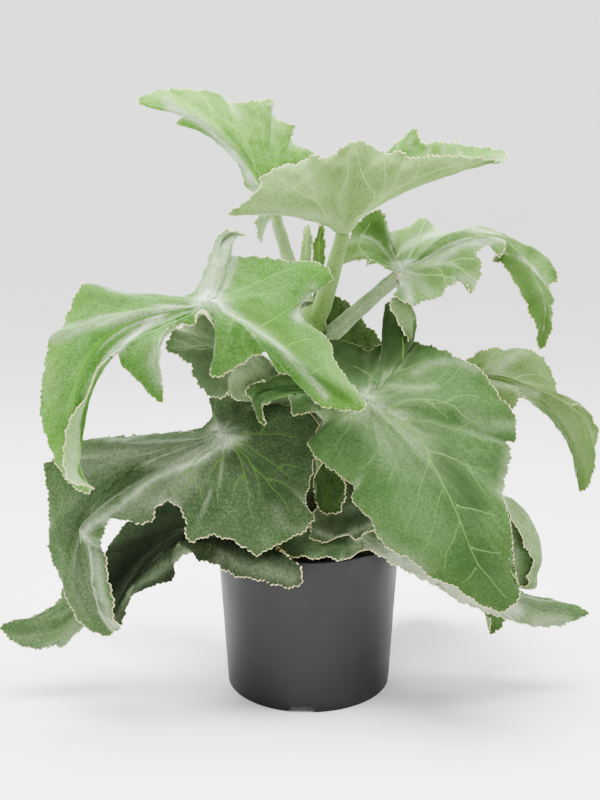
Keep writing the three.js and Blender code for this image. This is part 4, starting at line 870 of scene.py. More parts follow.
         (-4, 133, -96), (5, 129, -98), (16, 133, -96), (25, 132, -95), (33, 128, -93), (45, 132, -87),
         (53, 138, -82), (66, 139, -76), (90, 123, -74), (130, 102, -70), (160, 82, -64), (183, 72, -60),
         (205, 64, -56), (230, 56, -52), (255, 54, -48), (280, 60, -44), (294, 67, -42), (293, 73, -40),
         (283, 77, -38), (268, 80, -34), (252, 86, -30), (239, 85, -28), (222, 94, -26), (205, 100, -20),
         (180, 105, -18), (150, 119, -14), (120, 136, -10), (92, 163, -14), (50, 178, -26)],
        "ribs": [(0, 34, 166, -52), (2, 8, 154, -70), (6, 22, 146, -80), (10, 48, 148, -70),
         (13, 75, 142, -68), (16, 125, 116, -66), (19, 160, 102, -58), (21, 170, 100, -54),
         (24, 160, 108, -44), (27, 142, 120, -36), (30, 100, 150, -30), (31, 82, 160, -30),
         (33, 48, 170, -40)],
        "folds": [(0.95, 11, [(60, 143), (92, 129), (130, 108), (162, 90), (190, 78), (215, 71)]),
         (0.4, 8, [(240, 60), (270, 62)])],
    },
    "leafRightBehind": {
        "junction": (150, 170, 10), "stalk": (5.5, 6.5, 8), "felt": 0.3, "green": (65, 93, 48),
        "pale": (118, 141, 95), "tip": (64, 95, 40), "spokes": [15],
        "petiole": [(148, 172, 12), (85, 202, 6), (14, 216, 2)],
        "rim": [(135, 135, 6), (165, 110, 2), (190, 80, 0), (192, 46, -4), (208, 60, -4), (212, 92, -2),
         (232, 103, -6), (229, 111, -6), (235, 125, -4), (223, 147, -6), (221, 155, -4), (214, 166, -2),
         (207, 179, 2), (203, 192, 10), (190, 215, 30), (165, 225, 34), (140, 200, 28)],
        "ribs": [(0, 143, 153, 8), (1, 158, 138, 5), (3, 174, 112, 2), (5, 190, 120, 0), (7, 198, 142, 0),
         (9, 196, 158, 2), (11, 188, 172, 8), (13, 176, 184, 18), (14, 164, 192, 24), (16, 146, 184, 20)],
        "turns": [(6, 237, 97, 0), (7, 239, 112, 0), (8, 243, 129, 3), (9, 240, 147, 7), (10, 237, 157, 9),
         (11, 227, 177, 14), (12, 213, 192, 20), (13, 206, 197, 26)],
        "folds": [(0.5, 9, [(205, 170), (212, 130), (205, 90)])],
    },
    "leafRightMiddle": {
        "junction": (150, 325, 4), "stalk": (5.5, 6.5, 8.5), "felt": 0.35, "green": (95, 121, 68),
        "pale": (118, 141, 83), "tip": (88, 122, 56), "spokes": [12],
        "petiole": [(148, 326, 6), (80, 336, 6), (14, 330, 2)],
        "rim": [(165, 300, -15), (186, 301, -22), (207, 290, -24), (213, 303, -18), (225, 296, 4),
         (250, 273, 0), (268, 245, -4), (276, 215, -8), (279, 202, -12), (288, 210, -14), (293, 232, -14),
         (291, 250, -12), (295, 267, -12), (280, 291, -14), (266, 294, -16), (254, 300, -6), (245, 328, 14),
         (231, 347, 26), (214, 353, 32), (199, 350, 32), (184, 353, 32), (170, 348, 26), (157, 340, 18),
         (143, 332, 8)],
        "ribs": [(0, 158, 312, -6), (2, 182, 312, -18), (3, 190, 314, -17), (4, 200, 314, -14),
         (5, 212, 311, -12), (6, 217, 310.5, -12), (7, 221, 310, -12), (8, 224, 310, -12),
         (9, 227, 310.5, -12), (10, 229, 311, -12), (11, 230, 311.5, -12), (12, 230, 312.5, -12),
         (13, 228, 314, -11), (14, 224, 315.5, -9), (15, 218, 317, -5), (16, 208, 325, 6),
         (17, 196, 334, 14), (20, 170, 338, 16), (23, 147, 328, 6)],
        "turns": [(4, 215, 306, -8), (5, 243, 288, -6), (6, 258, 272, -7), (7, 269, 250, -9),
         (8, 275, 246, -10), (9, 281, 250, -11), (10, 284, 264, -12), (11, 282, 276, -12)],
        "veins": [[(153, 327), (165, 330), (177, 331), (188, 339), (204, 346), (221, 348)],
         [(153, 324), (167, 320), (188, 326), (208, 322), (229, 316), (250, 303)],
         [(156, 318), (172, 308), (186, 304)]],
        "veinlets": [[(188, 326), (200, 333), (219, 335)], [(177, 331), (182, 342), (190, 350)],
         [(208, 322), (222, 326), (240, 322)]],
        "folds": [(0.5, 7, [(179, 326), (198, 338), (211, 348)]),
         (0.55, 5, [(182, 315), (203, 313), (230, 307)])],
    },
    "leafCentreSmall": {
        "junction": (9, 240, -30), "stalk": (3, 3.5, 4), "felt": 0.1, "green": (45, 72, 24),
        "pale": (101, 123, 77), "tip": (48, 77, 24), "spokes": [3],
        "petiole": [(9, 241, -28), (11, 246, -22), (10, 250, -14)],
        "rim": [(6, 215, -42), (8, 190, -52), (14, 181, -58), (22, 178, -61), (33, 184, -62),
         (38, 200, -60), (36, 216, -56), (30, 226, -48), (18, 236, -40)],
        "ribs": [(0, 8, 228, -36), (3, 16, 210, -50), (5, 26, 214, -52), (8, 14, 238, -35)],
    },
    "leafCentreLow": {
        "junction": (30, 200, -36), "stalk": (4, 5, 6), "felt": 0.35, "green": (58, 72, 47),
        "pale": (126, 143, 104), "tip": (40, 56, 26), "fleece": (132, 146, 118), "spokes": [5],
        "petiole": [(29, 200, -32), (22, 202, -24), (14, 204, -8)],
        "rim": [(14, 192, -38), (4, 178, -50), (2, 157, -70), (10, 150, -80), (20, 149, -82),
         (33, 154, -80), (42, 155, -78), (50, 152, -76), (60, 158, -70), (74, 166, -60), (80, 190, -45),
         (60, 212, -34), (42, 216, -32), (32, 213, -32)],
        "ribs": [(0, 20, 194, -38), (2, 14, 176, -48), (4, 24, 170, -56), (7, 42, 172, -58),
         (10, 58, 190, -46), (13, 32, 206, -34)],
        "folds": [(0.9, 4, [(10, 159), (29, 154), (50, 160), (68, 168)]),
         (0.5, 7, [(16, 188), (39, 183), (57, 195)])],
    },
    "leafBehindStem": {
        "junction": (38, 335, 45), "stalk": (5, 6, 7.5), "felt": 0.2, "green": (46, 71, 25),
        "pale": (101, 123, 77), "tip": (46, 74, 24), "spokes": [2, 4, 8, 12],
        "petiole": [(38, 334, 42), (22, 320, 22), (8, 312, 6)],
        "rim": [(22, 352, 42), (16, 380, 46), (22, 403, 48), (33, 403, 48), (44, 396, 50), (56, 379, 52),
         (66, 369, 54), (77, 356, 58), (95, 340, 70), (110, 310, 85), (95, 285, 95), (70, 275, 92),
         (45, 280, 80), (25, 300, 62), (18, 325, 50)],
        "ribs": [(0, 30, 344, 43), (3, 34, 370, 44), (6, 52, 352, 50), (9, 75, 322, 65), (12, 42, 308, 62),
         (14, 28, 330, 47)],
    },
    "leafBackRight": {
        "junction": (60, 262, 55), "stalk": (6, 6.8, 8.5), "felt": 0.4, "green": (83, 119, 55),
        "pale": (123, 148, 90), "tip": (83, 126, 46), "underside": True, "spokes": [1, 3, 5, 8, 10, 12],
        "petiole": [(58, 263, 50), (30, 262, 28), (10, 262, 6)],
        "rim": [(40, 285, 50), (20, 250, 70), (30, 205, 100), (55, 172, 125), (90, 140, 145),
         (120, 125, 152), (135, 150, 142), (165, 165, 128), (180, 205, 112), (175, 245, 96), (150, 275, 80),
         (115, 300, 66), (80, 300, 56)],
        "ribs": [(0, 50, 275, 52), (3, 58, 226, 94), (5, 92, 196, 114), (8, 125, 228, 92),
         (12, 71, 283, 55)],
    },
    "leafBackLeft": {
        "junction": (-60, 235, 55), "stalk": (6, 6.8, 8.5), "felt": 0.4, "green": (83, 119, 55),
        "pale": (123, 148, 90), "tip": (83, 126, 46), "underside": True, "spokes": [1, 3, 5, 7, 9, 11],
        "petiole": [(-58, 236, 50), (-30, 232, 28), (-8, 228, 6)],
        "rim": [(-45, 260, 50), (-80, 262, 62), (-130, 258, 85), (-180, 255, 110), (-215, 235, 130),
         (-225, 212, 140), (-190, 202, 135), (-150, 207, 125), (-110, 190, 115), (-70, 190, 96),
         (-30, 196, 75), (-15, 210, 62), (-32, 240, 52)],
        "ribs": [(0, -52, 248, 52), (3, -120, 247, 85), (5, -140, 224, 104), (8, -90, 210, 88),
         (11, -38, 217, 62), (12, -46, 238, 54)],
    },
    "leafYoungLeft": {
        "junction": (-2, 425, -2), "stalk": (2.8, 3, 3.4), "felt": 0.4, "green": (112, 143, 79),
        "pale": (134, 162, 104), "tip": (104, 143, 63), "spokes": [3],
        "petiole": [(-2, 426, -2), (-1, 414, -1), (1, 400, 0)],
        "rim": [(-9, 432, 0), (-9, 445, 0), (-5, 466, -3), (-1, 477, -4), (2, 468, 0), (3, 455, 1),
         (2, 438, 1)],
        "ribs": [(0, -5, 429, -2), (3, -2, 452, -6), (6, 0, 431, 0)],
    },
    "leafYoungRight": {
        "junction": (10, 425, 7), "stalk": (2.6, 2.9, 3.2), "felt": 0.4, "green": (99, 134, 65),
        "pale": (126, 155, 95), "tip": (96, 138, 57), "spokes": [3],
        "petiole": [(10, 426, 7), (9, 414, 6), (7, 400, 3)],
        "rim": [(5, 432, 8), (4, 446, 9), (5, 458, 10), (12, 476, 12), (15, 474, 12), (16, 452, 10),
         (15, 434, 9)],
        "ribs": [(0, 7, 429, 7), (3, 10, 450, 9), (6, 12, 430, 8)],
    },
}


def linear(red, green, blue):
    # a shade given in screen values, 0 to 255, as linear light
    shade = np.array([red, green, blue]) / 255
    return tuple(np.where(shade <= 0.04045, shade / 12.92, ((shade + 0.055) / 1.055) ** 2.4))


def shades(wire, field, *tones):
    # evenly spaced tones picked by a wire from 0 to 1
    return ramp(wire, field, *((index / (len(tones) - 1), tuple(tone)) for index, tone in enumerate(tones)))


# grain sizes in metres, and the tones of the cream and rusty rims
feltLook = {
    "patch": 0.05, "speck": 0.0023, "streak": 0.009, "lump": 0.008, "rust": 0.006,
    "cream": (222, 212, 168), "brown": (150, 112, 62),
    "sheenTint": (0.88, 1.0, 0.84), "sheenRough": 0.32, "IOR": 1.3,
}


def leafMaterial(name, leaf):
    # green upper side and paler underside, both speckled with felt, which is thicker at the junction. Felt
    # tone on crests and folds is partly the felt's own colour and partly painted sheen; the tip tone is
    # partly painted shade, and the marks below 0 and concave creases are painted shade. `over` turns a
    # distance in millimetres, or a field, into the share that one tone gets.
    material, wire, shader = newMaterial(name)

    def field(attribute):
        return wire.node("ShaderNodeAttribute", {"attribute_name": attribute}, output="Fac")

    upper = np.array(linear(*leaf["green"]))
    lower = np.array(linear(*leaf["pale"]))
    tipGreen = np.array(linear(*leaf["tip"]))
    patch = grain(wire, feltLook["patch"], 3.0)
    speck = grain(wire, feltLook["speck"], 3.0, 0.75)
    green = shades(wire, patch.over(0.3, 0.7), upper * (0.8, 0.86, 0.78), upper * (1.14, 1.08, 1.16))
    under = shades(wire, patch.over(0.3, 0.7), lower * 0.88, lower * 1.08)
    side = field("under").over(0.35, 0.65)
    colour = side.between(green, under)
    # leaf ends take the tip tone: their own greener colour, and on some leaves painted shade where the tip
    # turns away from the light
    tips = field("edge").over(34, 6) * field("centre").over(70, 150) * (1 - side) * 0.55
    colour = tips.between(colour, opaque(tipGreen))
    nearVein = field("veinNear").over(6, 0.3) * field("centre").over(90, 10) * 0.06
    crest = field("crest")
    # felt tone along the listed folds and on convex crests: partly the felt's own colour, partly painted
    # sheen of surfaces seen at a grazing angle
    fold = field("fold") * (grain(wire, feltLook["streak"], 4.0, 0.65) * 0.8 + 0.35)
    felt = field("centre").over(24, 1) * leaf["felt"] * 0.5
    felt = felt + crest.over(0.001, 0.035) * 0.22 + nearVein + fold
    felt = felt + (patch - 0.5) * 0.2 + 0.03 + speck.over(0.45, 0.75) * 0.16
    felt = wire.node("ShaderNodeClamp", inputs={0: felt})
    # painted shade: the marks below 0 take a darkened tip tone, and the felt thins under them
    hollow = field("hollow")
    colour = (hollow * 0.9).between(colour, opaque(tipGreen * 0.45 + 0.004))
    colour = (felt * (1 - hollow * 0.8)).between(colour, opaque(linear(*leaf["fleece"])))
    # dark specks of the felt grain, and painted shade in concave creases
    dark = speck.over(0.52, 0.3) * 0.36 + crest.over(0, -0.025) * 0.25
    colour = dark.between(colour, opaque(upper * 0.4))
    vein = (field("vein").size() / field("veinWidth")).over(1.7, 0.15) * field("veinNear").over(3.4, 2.4)
    vein = vein * field("centre").over(6, 22) * 0.85
    veinTone = np.array(linear(*leaf["veinTone"])) if "veinTone" in leaf else upper * (1.7, 1.55, 1.7)
    colour = vein.between(colour, side.between(opaque(veinTone), opaque(lower * 1.3)))
    margin = (field("edge") + (speck - 0.5) * 0.9).over(0.75, 0.2) * 0.9
    rust = grain(wire, feltLook["rust"], 2.0).over(0.56, 0.66) * field("edge").over(0.8, 0.2) * 0.6
    colour = margin.between(colour, opaque(linear(*feltLook["cream"])))
    colour = rust.between(colour, opaque(linear(*feltLook["brown"])))
    height = speck * 0.5 + vein * 0.5 + grain(wire, feltLook["lump"], 2.0) * 0.6
    bump = raised(wire, height, 0.5, 0.0008)
    sheen = {"Sheen Weight": leaf["sheen"], "Sheen Roughness": feltLook["sheenRough"]}
    sheen["Sheen Tint"] = opaque(feltLook["sheenTint"])
    varying = {"Base Color": colour, "Roughness": 0.8 + patch * 0.12, "Normal": bump}
    finishShader(wire, shader, varying, {**sheen, "IOR": feltLook["IOR"]})
    return material


# half widths at a vein's start and end; the cost of a place beside a read line; side veins along a spoke as
# (start row, drift in rim points)
veinForm = {
    "step": 1.5, "main": (1.15, 0.45), "branch": (0.75, 0.4), "taper": 1.6,
    "perDepth": 25, "perStride": 4, "lost": 5,
    "count": 40, "rows": (0.03, 0.93), "bend": 0.7,
    "sides": ((0.34, 0.8), (0.42, -0.8), (0.58, 0.6), (0.66, -0.6)), "sideLong": 0.32, "sideLast": 0.95,
}


def tapered(widths, count):
    # half widths along a vein: end + (start - end) * (1 - u)^1.6
    start, end = widths
    return end + (start - end) * (1 - np.linspace(0, 1, count)) ** veinForm["taper"]


def bentLine(corners):
    # a smooth line through a few corners, in steps of about 1.5 mm
    corners = np.asarray(corners, float)
    run = np.concatenate([[0], np.cumsum(np.linalg.norm(np.diff(corners, axis=0), axis=1))])
    return smoothThrough(run, corners, np.linspace(0, run[-1], max(4, round(run[-1] / veinForm["step"]))))


def takenOnto(line, seen, points):
    # a line read in the camera's view, followed over the sheet: each place takes the point with the least
    # distance seen + depth / 25 + distance from the point before / 4, and the line ends where the sheet does
    path = []
    for place in line:
        missed = np.linalg.norm(seen[:, :2] - place, axis=1)
        cost = missed + seen[:, 2] / veinForm["perDepth"]
        if path:
            cost = cost + np.linalg.norm(points - path[-1], axis=1) / veinForm["perStride"]
        best = cost.argmin()
        if missed[best] > veinForm["lost"] and len(path) > 3:
            break
        path.append(points[best])
    path = np.array(path)
    for _ in range(4):
        path[1:-1] = (path[:-2] + 2 * path[1:-1] + path[2:]) / 4
    return path


def spokeLine(net, column, start, stop, drift):
    # a line on the net from row `start` to row `stop`, whose column is column + drift * u^0.7
    share = np.linspace(0, 1, veinForm["count"])
    rows = start + (stop - start) * share
    spokes = aroundNet(net, column + drift * share ** veinForm["bend"])
    return np.stack([alongSpokes(spoke, [row])[0] for spoke, row in zip(spokes, rows)])


def veinLines(leaf, net, points):
    # every vein as (points along it, its half widths): those read off the view, and spokes with side veins
    seen = inView(points)
    lines = []
    for kind, widths in (("veins", veinForm["main"]), ("veinlets", veinForm["branch"])):
        for corners in leaf.get(kind, []):
            path = takenOnto(bentLine(corners), seen, points)
            lines.append((path, tapered(widths, len(path))))
    count = veinForm["count"]
    for column in leaf.get("spokes", []):
        lines.append((spokeLine(net, column, *veinForm["rows"], 0), tapered(veinForm["main"], count)))
        for start, drift in veinForm["sides"]:
            stop = min(start + veinForm["sideLong"], veinForm["sideLast"])
            lines.append((spokeLine(net, column, start, stop, drift), tapered(veinForm["branch"], count)))
    return lines


def slices(count, size):
    # the numbers below `count` in parts of `size`, to keep the tables of distances small
    return [slice(low, low + size) for low in range(0, count, size)]


def veinFields(leaf, net, points, normals):
    # distance to the nearest vein along the skin, signed by the side it is on, the plain distance, and that
    # vein's half width
    lines = veinLines(leaf, net, points)
    starts = np.concatenate([path[:-1] for path, width in lines])
    span = np.concatenate([path[1:] for path, width in lines]) - starts
    widths = np.concatenate([width[:-1] for path, width in lines])
    long = np.maximum((span**2).sum(axis=1), 1e-9)
    signed = np.zeros(len(points))
    plain = np.zeros(len(points))
    wide = np.zeros(len(points))
    for part in slices(len(points), 3000):
        offset = points[part, None] - starts[None]
        share = np.clip((offset * span).sum(axis=2) / long, 0, 1)
        away = offset - share[..., None] * span[None]
        far = np.linalg.norm(away, axis=2)
        best = far.argmin(axis=1)
        rows = np.arange(len(best))
        nearest = away[rows, best]
        level = nearest - (nearest * normals[part]).sum(axis=1)[:, None] * normals[part]
        turn = (np.cross(span[best], nearest) * normals[part]).sum(axis=1)
        plain[part] = far[rows, best]
        signed[part] = np.linalg.norm(level, axis=1) * np.sign(turn)
        wide[part] = widths[best]
    return signed, plain, wide


def foldFields(leaf, points):
    # felt tone along folds, partly the felt's own colour and partly painted sheen, and painted shade along
    # others: the sums of amount * exp(-(distance / width)^2). A fold is one or two pairs of amount, below 0
    # for painted shade, and width, and then its line in the view.
    seen = inView(points)
    feltAndSheen = np.zeros(len(points))
    hollow = np.zeros(len(points))
    for *marks, corners in leaf.get("folds", []):
        path = takenOnto(bentLine(corners), seen, points)
        near = np.full(len(points), 1e9)
        for part in slices(len(points), 8000):
            near[part] = ((points[part, None] - path[None]) ** 2).sum(axis=2).min(axis=1)
        for amount, width in zip(marks[::2], marks[1::2]):
            mark = abs(amount) * np.exp(-near / width**2)
            if amount > 0:
                feltAndSheen = feltAndSheen + mark * (1 - feltAndSheen)
            else:
                hollow = hollow + mark * (1 - hollow)
    return feltAndSheen, hollow


# hairs to the square millimetre and their lengths, on rims and on stalks
hairs = {
    "rim": 1.6, "stalk": 0.13, "rimLong": (0.5, 0.9), "stalkLong": (0.7, 1.2),
    "half": 0.07, "lean": (0.1, 0.8), "sunk": 0.05, "clear": 3.0,
}


def hairsOn(points, corners, crowd, lengths, seed):
    # thin three-sided spikes on random places of some faces, `crowd` to the square millimetre:
    # tip = root + length * (normal + slant along the skin), base = three points round the root
    draw = np.random.default_rng(seed)
    first, second, third = (points[corners[:, index]] for index in range(3))
    across = np.cross(second - first, third - first)
    area = np.linalg.norm(across, axis=1)
    count = round(area.sum() * crowd)
    if not count:
        return np.zeros((0, 3)), np.zeros((0, 3), int)
    chosen = draw.choice(len(corners), count, p=area / area.sum())
    share = draw.random((2, count, 1))
    share = np.where(share.sum(axis=0) > 1, 1 - share, share)
    root = first[chosen] + share[0] * (second - first)[chosen] + share[1] * (third - first)[chosen]
    up = unit(across[chosen])
    side = unit((second - first)[chosen])
    other = np.cross(up, side)
    angle = draw.uniform(0, 2 * np.pi, (count, 1))
    lean = draw.uniform(*hairs["lean"], (count, 1)) * (np.cos(angle) * side + np.sin(angle) * other)
    tip = root + draw.uniform(*lengths, (count, 1)) * unit(up + lean)
    base = root[:, None] - hairs["sunk"] * up[:, None] + hairs["half"] * ringsRound(side, other, 3)
    spikes = np.concatenate([base, tip[:, None]], axis=1)
    form = np.array([(0, 1, 3), (1, 2, 3), (2, 0, 3), (0, 2, 1)])
    return spikes.reshape(-1, 3), (4 * np.arange(count)[:, None, None] + form[None]).reshape(-1, 3)


sharedTones = {"fleece": (160, 175, 143), "sheen": 0.8, "stalkFeltShade": 0.1}
plainStalk = {"edge": 50, "centre": 22, "under": 1, "vein": 9, "veinNear": 9, "veinWidth": 1, "crest": 0}


def makeLeaf(name, leaf, seed):
    # a leaf from its blade, its stalk and the hairs on its rim and stalk; gives back its count of triangles
    leaf = {**sharedTones, **leaf}
    points, faces, fields = bladeParts(leaf, leafNet(leaf), seed)
    rimFaces = np.concatenate(faces[-2:])[:, :3]
    rim, rimHairs = hairsOn(points, rimFaces, hairs["rim"], hairs["rimLong"], seed + 6)
    stalk, stalkFaces = stalkParts(leaf, seed)
    free = stalkFaces[0][offStem(stalk[stalkFaces[0]].mean(axis=1)) > hairs["clear"]]
    fuzz, fuzzHairs = hairsOn(stalk, free[:, :3], hairs["stalk"], hairs["stalkLong"], seed + 7)
    # a stalk's share: above 0 it lays felt tone, below 0 it paints shade on the stalk
    felt = leaf["stalkFeltShade"]
    onStalk = {**plainStalk, "fold": max(felt, 0), "hollow": max(-felt, 0)}
    onHair = {**plainStalk, "fold": 0.8, "hollow": 0}
    added = ((stalk, stalkFaces, onStalk), (rim, [rimHairs], onHair), (fuzz, [fuzzHairs], onHair))
    for places, sides, plain in added:
        faces = faces + [corners + len(points) for corners in sides]
        points = np.concatenate([points, places])
        for field, value in plain.items():
            fields[field] = np.concatenate([fields[field], np.full(len(places), float(value))])
    newPiece(name + "Felted", points, faces, leafMaterial(name + "Felt", leaf), [name], fields)
    return sum(len(corners) * (corners.shape[1] - 2) for corners in faces)


total = 0
for index, (name, leaf) in enumerate(leaves.items()):
    total += makeLeaf(name, leaf, 100 + 10 * index)
print("leaves made", total)


def latheParts(outline, sides):
    # an outline (radius, height) turned round the upright axis; its first and last points are on that axis
    outline = np.array(outline, float)
    turn = np.linspace(0, 2 * np.pi, sides, endpoint=False)
    ring = np.stack([np.cos(turn), np.sin(turn)], axis=1)
    body = outline[1:-1]
    level = np.concatenate([(body[:, None, :1] * ring[None]).reshape(-1, 2), np.zeros((2, 2))])
    heights = np.concatenate([np.repeat(body[:, 1], sides), outline[[0, -1], 1]])
    return np.column_stack([level, heights]), tubeFaces(len(body), sides)


def stemParts():
    # rings round the stem's middle line, a little inside its skin, with low lumps
    heights = np.arange(stemShape["heights"][0], stemShape["heights"][-1] + 0.1, stemShape["pitch"])
    middle, wall = stemAt(heights)
    turn = np.linspace(0, 2 * np.pi, stemShape["sides"], endpoint=False)
    ring = np.stack([np.cos(turn), np.sin(turn), 0 * turn], axis=1)
    base = np.stack([middle, 0 * middle, heights], axis=1)
    points = (base[:, None] + (wall - stemShape["inset"])[:, None, None] * ring[None]).reshape(-1, 3)
    lumps = softNoise(points, stemShape["lump"], 7) * stemShape["high"]
    lumps = np.minimum(lumps, stemShape["highest"]) - stemShape["highest"]
    points = points + np.tile(ring, (len(heights), 1)) * lumps[:, None]
    return np.concatenate([points, base[[0, -1]]]), tubeFaces(len(heights), stemShape["sides"])


def plainFelt(name, low, high, size):
    # two tones in patches of about `size` metres, with a fine nap
    material, wire, shader = newMaterial(name)
    patch = grain(wire, size, 4.0)
    fine = grain(wire, 0.0015, 2.0, 0.7)
    colour = ramp(wire, patch * 0.7 + fine * 0.3, (0.3, low), (0.7, high))
    bump = raised(wire, fine, 0.5, 0.0008)
    varying = {"Base Color": colour, "Roughness": 0.8 + patch * 0.15, "Normal": bump}
    finishShader(wire, shader, varying, {"Sheen Weight": 0.3, "Sheen Roughness": 0.5})
    return material


points, faces = stemParts()
# the stem's tones are darkened to paint the shade it stands in among the stalks and leaves
stemShadedFelt = plainFelt("stemShadedFelt", linear(46, 58, 32), linear(84, 98, 66), 0.012)
newPiece("stemFelted", points, faces, stemShadedFelt, ["stem"])
print("stem made")

# the shell, and what is cut from it: notches in the foot, drain holes and the slit below the band
pot = {
    "height": 161.6, "rim": 95.0, "band": 94.0, "bandHeight": 26.6, "bandStep": 1.2, "base": 85.0,
    "wall": 2.2, "lip": 5.0, "floor": 3.0, "footHeight": 5.0, "footWidth": 10.0, "pad": 22.0,
    "sides": 192, "sharp": 24,
}
notch = {"count": 4, "turn": -4.5, "half": 15, "bevel": 5, "low": -3, "high": 8, "outer": 90, "deep": 13}
drain = {"count": 8, "radius": 6, "out": 60, "low": -1, "high": 12, "sides": 40}
slit = {"turn": -16, "half": 1.2, "halfWide": 0.8, "low": 89, "high": 128}


def potOutline():
    # the pot's section from the middle of its underside out, up to the rim and back down inside
    bandBottom = pot["height"] - pot["bandHeight"]
    wallTop = pot["band"] - pot["bandStep"]
    lipInside = pot["rim"] - pot["lip"]
    foot = pot["base"] - pot["footWidth"]
    top = pot["height"]
    underside = pot["footHeight"]
    inside = underside + pot["floor"]
    return [
        (0, 0), (pot["pad"], 0), (pot["pad"] + 2, underside), (foot - 2, underside), (foot, 0),
        (pot["base"] - 1, 0), (pot["base"] - 0.3, 0.3), (pot["base"], 1), (wallTop, bandBottom - 0.4),
        (wallTop + 0.1, bandBottom), (pot["band"] - 0.3, bandBottom + 0.3), (pot["band"], bandBottom + 1),
        (pot["rim"], top - 1.2), (pot["rim"] - 0.35, top - 0.35), (pot["rim"] - 1.2, top),
        (lipInside + 1, top), (lipInside + 0.3, top - 0.3), (lipInside, top - 1),
        (wallTop - pot["wall"], bandBottom), (pot["base"] - pot["wall"], inside), (0, inside),
    ]


def potMaterial():
    # near black plastic with faint patches and a fine bump
    material, wire, shader = newMaterial("potPlastic")
    patch = grain(wire, 0.03, 3.0)
    colour = ramp(wire, patch, (0.3, linear(20, 20, 21)), (0.7, linear(28, 28, 29)))
    bump = raised(wire, grain(wire, 0.0009, 2.0, 0.6), 0.12, 0.0003)
    varying = {"Base Color": colour, "Roughness": 0.46 + patch * 0.14, "Normal": bump}
    finishShader(wire, shader, varying, {"IOR": 1.45})
    return material


def boxParts(corners):
    # a block from its 8 corners, the lower four first, each four anticlockwise from above
    quads = [(3, 2, 1, 0), (4, 5, 6, 7), (0, 1, 5, 4), (1, 2, 6, 5), (2, 3, 7, 6), (3, 0, 4, 7)]
    return np.array(corners, float), [np.array(quads)]


def turned(points, angle):
    # points turned round the upright axis
    cosine, sine = math.cos(angle), math.sin(angle)
    return points @ np.array([[cosine, sine, 0], [-sine, cosine, 0], [0, 0, 1]])


def potCutters():
    # four bevelled notches in the foot, eight drain holes, and the slit below the band
    corners = []
    inner = pot["base"] - notch["deep"]
    for half, height in ((notch["half"], notch["low"]), (notch["half"] - notch["bevel"], notch["high"])):
        for side, out in ((-half, notch["outer"]), (half, notch["outer"]), (half, inner), (-half, inner)):
            corners.append((side, -out, height))
    for index in range(notch["count"]):
        points, faces = boxParts(corners)
        yield turned(points, math.radians(notch["turn"] + 360 / notch["count"] * index)), faces
    radius, low, high = drain["radius"], drain["low"], drain["high"]
    for index in range(drain["count"]):
        points, faces = latheParts([(0, low), (radius, low), (radius, high), (0, high)], drain["sides"])
        points[:, 0] += drain["out"]
        yield turned(points, (index + 0.5) * 2 * math.pi / drain["count"]), faces
    taper = (pot["band"] - pot["bandStep"] - pot["base"]) / (pot["height"] - pot["bandHeight"])
    wall = pot["base"] + taper * (slit["low"] + slit["high"]) / 2
    near, far, wide = wall - slit["half"], wall + slit["half"], slit["halfWide"]
    sides = [(near, -wide), (far, -wide), (far, wide), (near, wide)]
    points, faces = boxParts([(x, y, height) for height in (slit["low"], slit["high"]) for x, y in sides])
    yield turned(points, math.radians(slit["turn"])), faces


points, faces = latheParts(potOutline(), pot["sides"])
potPiece = newPiece("potTurned", points, faces, potMaterial(), ["pot"])
for points, faces in potCutters():
    cutter = meshObject("cutter", points, faces)
    cut = potPiece.modifiers.new("cut", "BOOLEAN")
    cut.operation = "DIFFERENCE"
    cut.solver = "EXACT"
    cut.object = cutter
    bpy.context.view_layer.update()
    shaped = bpy.data.meshes.new_from_object(potPiece.evaluated_get(bpy.context.evaluated_depsgraph_get()))
    potPiece.modifiers.clear()
    potPiece.data = shaped
    bpy.data.objects.remove(cutter)
potPiece.data.set_sharp_from_angle(angle=math.radians(pot["sharp"]))
print("pot made")

soil = {
    "top": 150, "shoulder": 147, "off": 0.3, "offTop": 0.9, "hole": 18.2, "holeRim": 18.6,
    "holeSide": 106, "holeFloor": 104, "rings": 46, "sides": 144, "lump": 1.2, "crumb": 0.7,
}


def soilParts():
    # rings of a polar grid over the top, then down the pot's wall and along its floor
    bottom = pot["footHeight"] + pot["floor"] + soil["off"]
    low = pot["base"] - pot["wall"] - soil["off"]
    high = pot["band"] - pot["bandStep"] - pot["wall"] - soil["offTop"]
    rings = np.linspace(soil["holeRim"], high, soil["rings"])
    outline = [(0, bottom), (low, bottom), (high, soil["shoulder"])]
    outline += [(radius, soil["top"]) for radius in rings[::-1]]
    outline += [(soil["hole"], soil["holeSide"]), (0, soil["holeFloor"])]
    points, faces = latheParts(outline, soil["sides"])
    top = points[:, 2] > soil["top"] - 1
    across, deep = points[top, 0], points[top, 1]
    lumps = np.sin(across * 0.31 + 1.3) * np.sin(deep * 0.27 - 0.6)
    lumps = lumps + 0.6 * np.sin(across * 0.83 - deep * 0.71)
    crumbs = softNoise(points[top], 5, 41) + softNoise(points[top], 2.6, 42)
    points[top, 2] += soil["lump"] * (lumps - 1) + crumbs * soil["crumb"] - soil["crumb"]
    return points, faces


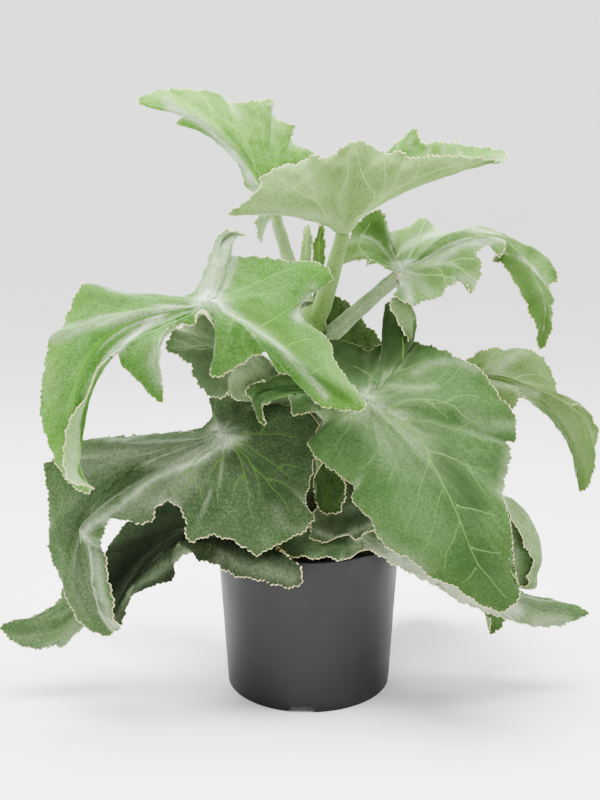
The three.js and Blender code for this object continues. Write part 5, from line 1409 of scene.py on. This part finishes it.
def soilMaterial():
    # dark crumbs with paler chips
    material, wire, shader = newMaterial("pottingMix")
    chunk = grain(wire, 0.004, 5.0, 0.7)
    tones = ((0.3, linear(18, 15, 12)), (0.55, linear(46, 37, 28)), (0.75, linear(92, 76, 56)))
    varying = {"Base Color": ramp(wire, chunk, *tones), "Roughness": 0.8 + chunk * 0.15}
    varying["Normal"] = raised(wire, chunk, 0.8, 0.002)
    finishShader(wire, shader, varying, {})
    return material


points, faces = soilParts()
newPiece("soilCrumbs", points, faces, soilMaterial(), ["soil"])
print("soil made")

# a white bowl, as an outline (radius, height) in millimetres
stage = {
    "flat": [(0, 0), (1600, 0)],
    "wall": [(2000, 30), (2400, 120), (2800, 320), (3000, 600), (3100, 1000), (3150, 1600)],
    "sides": 96,
    "shade": (0.93, 0.93, 0.93),
    "rough": 0.9,
}
points, faces = latheParts(stage["flat"] + stage["wall"] + [(0, stage["wall"][-1][1])], stage["sides"])
floor = meshObject("floor", points[:-1], [corners[:, ::-1] for corners in faces[:2]])
stagePaper, wire, shader = newMaterial("stagePaper")
finishShader(wire, shader, {}, {"Base Color": opaque(stage["shade"]), "Roughness": stage["rough"]})
floor.data.shade_smooth()
floor.data.materials.append(stagePaper)

sky = {"shade": (1.0, 1.0, 1.0), "strength": 0.14}
world = bpy.data.worlds.new("sky")
world.use_nodes = True
world.node_tree.nodes["Background"].inputs[0].default_value = opaque(sky["shade"])
world.node_tree.nodes["Background"].inputs[1].default_value = sky["strength"]
bpy.context.scene.world = world

# name, place, width and power of each lamp, all aimed at one point on the plant's axis
lamps = (
    ("topLight", (0.0, 0.0, 2.0), 1.3, 110.0),
    ("leftLight", (-2.0, -0.1, 1.6), 1.3, 58.0),
    ("rightLight", (2.0, -0.1, 1.2), 1.2, 40.0),
)
target = np.array([0, 0, 0.28])
for name, place, width, power in lamps:
    data = bpy.data.lights.new(name, "AREA")
    data.shape = "DISK"
    data.size = width
    data.energy = power
    lamp = bpy.data.objects.new(name, data)
    lamp.location = place
    aim = target - np.array(place)
    lamp.rotation_euler = (math.acos(-aim[2] / np.linalg.norm(aim)), 0, math.atan2(-aim[0], aim[1]))
    lamp.visible_camera = False
    bpy.context.scene.collection.objects.link(lamp)
print("stage and lights set")

# the strong contrast belongs to the view, not to the paints
bpy.context.scene.view_settings.look = "AgX - Medium High Contrast"
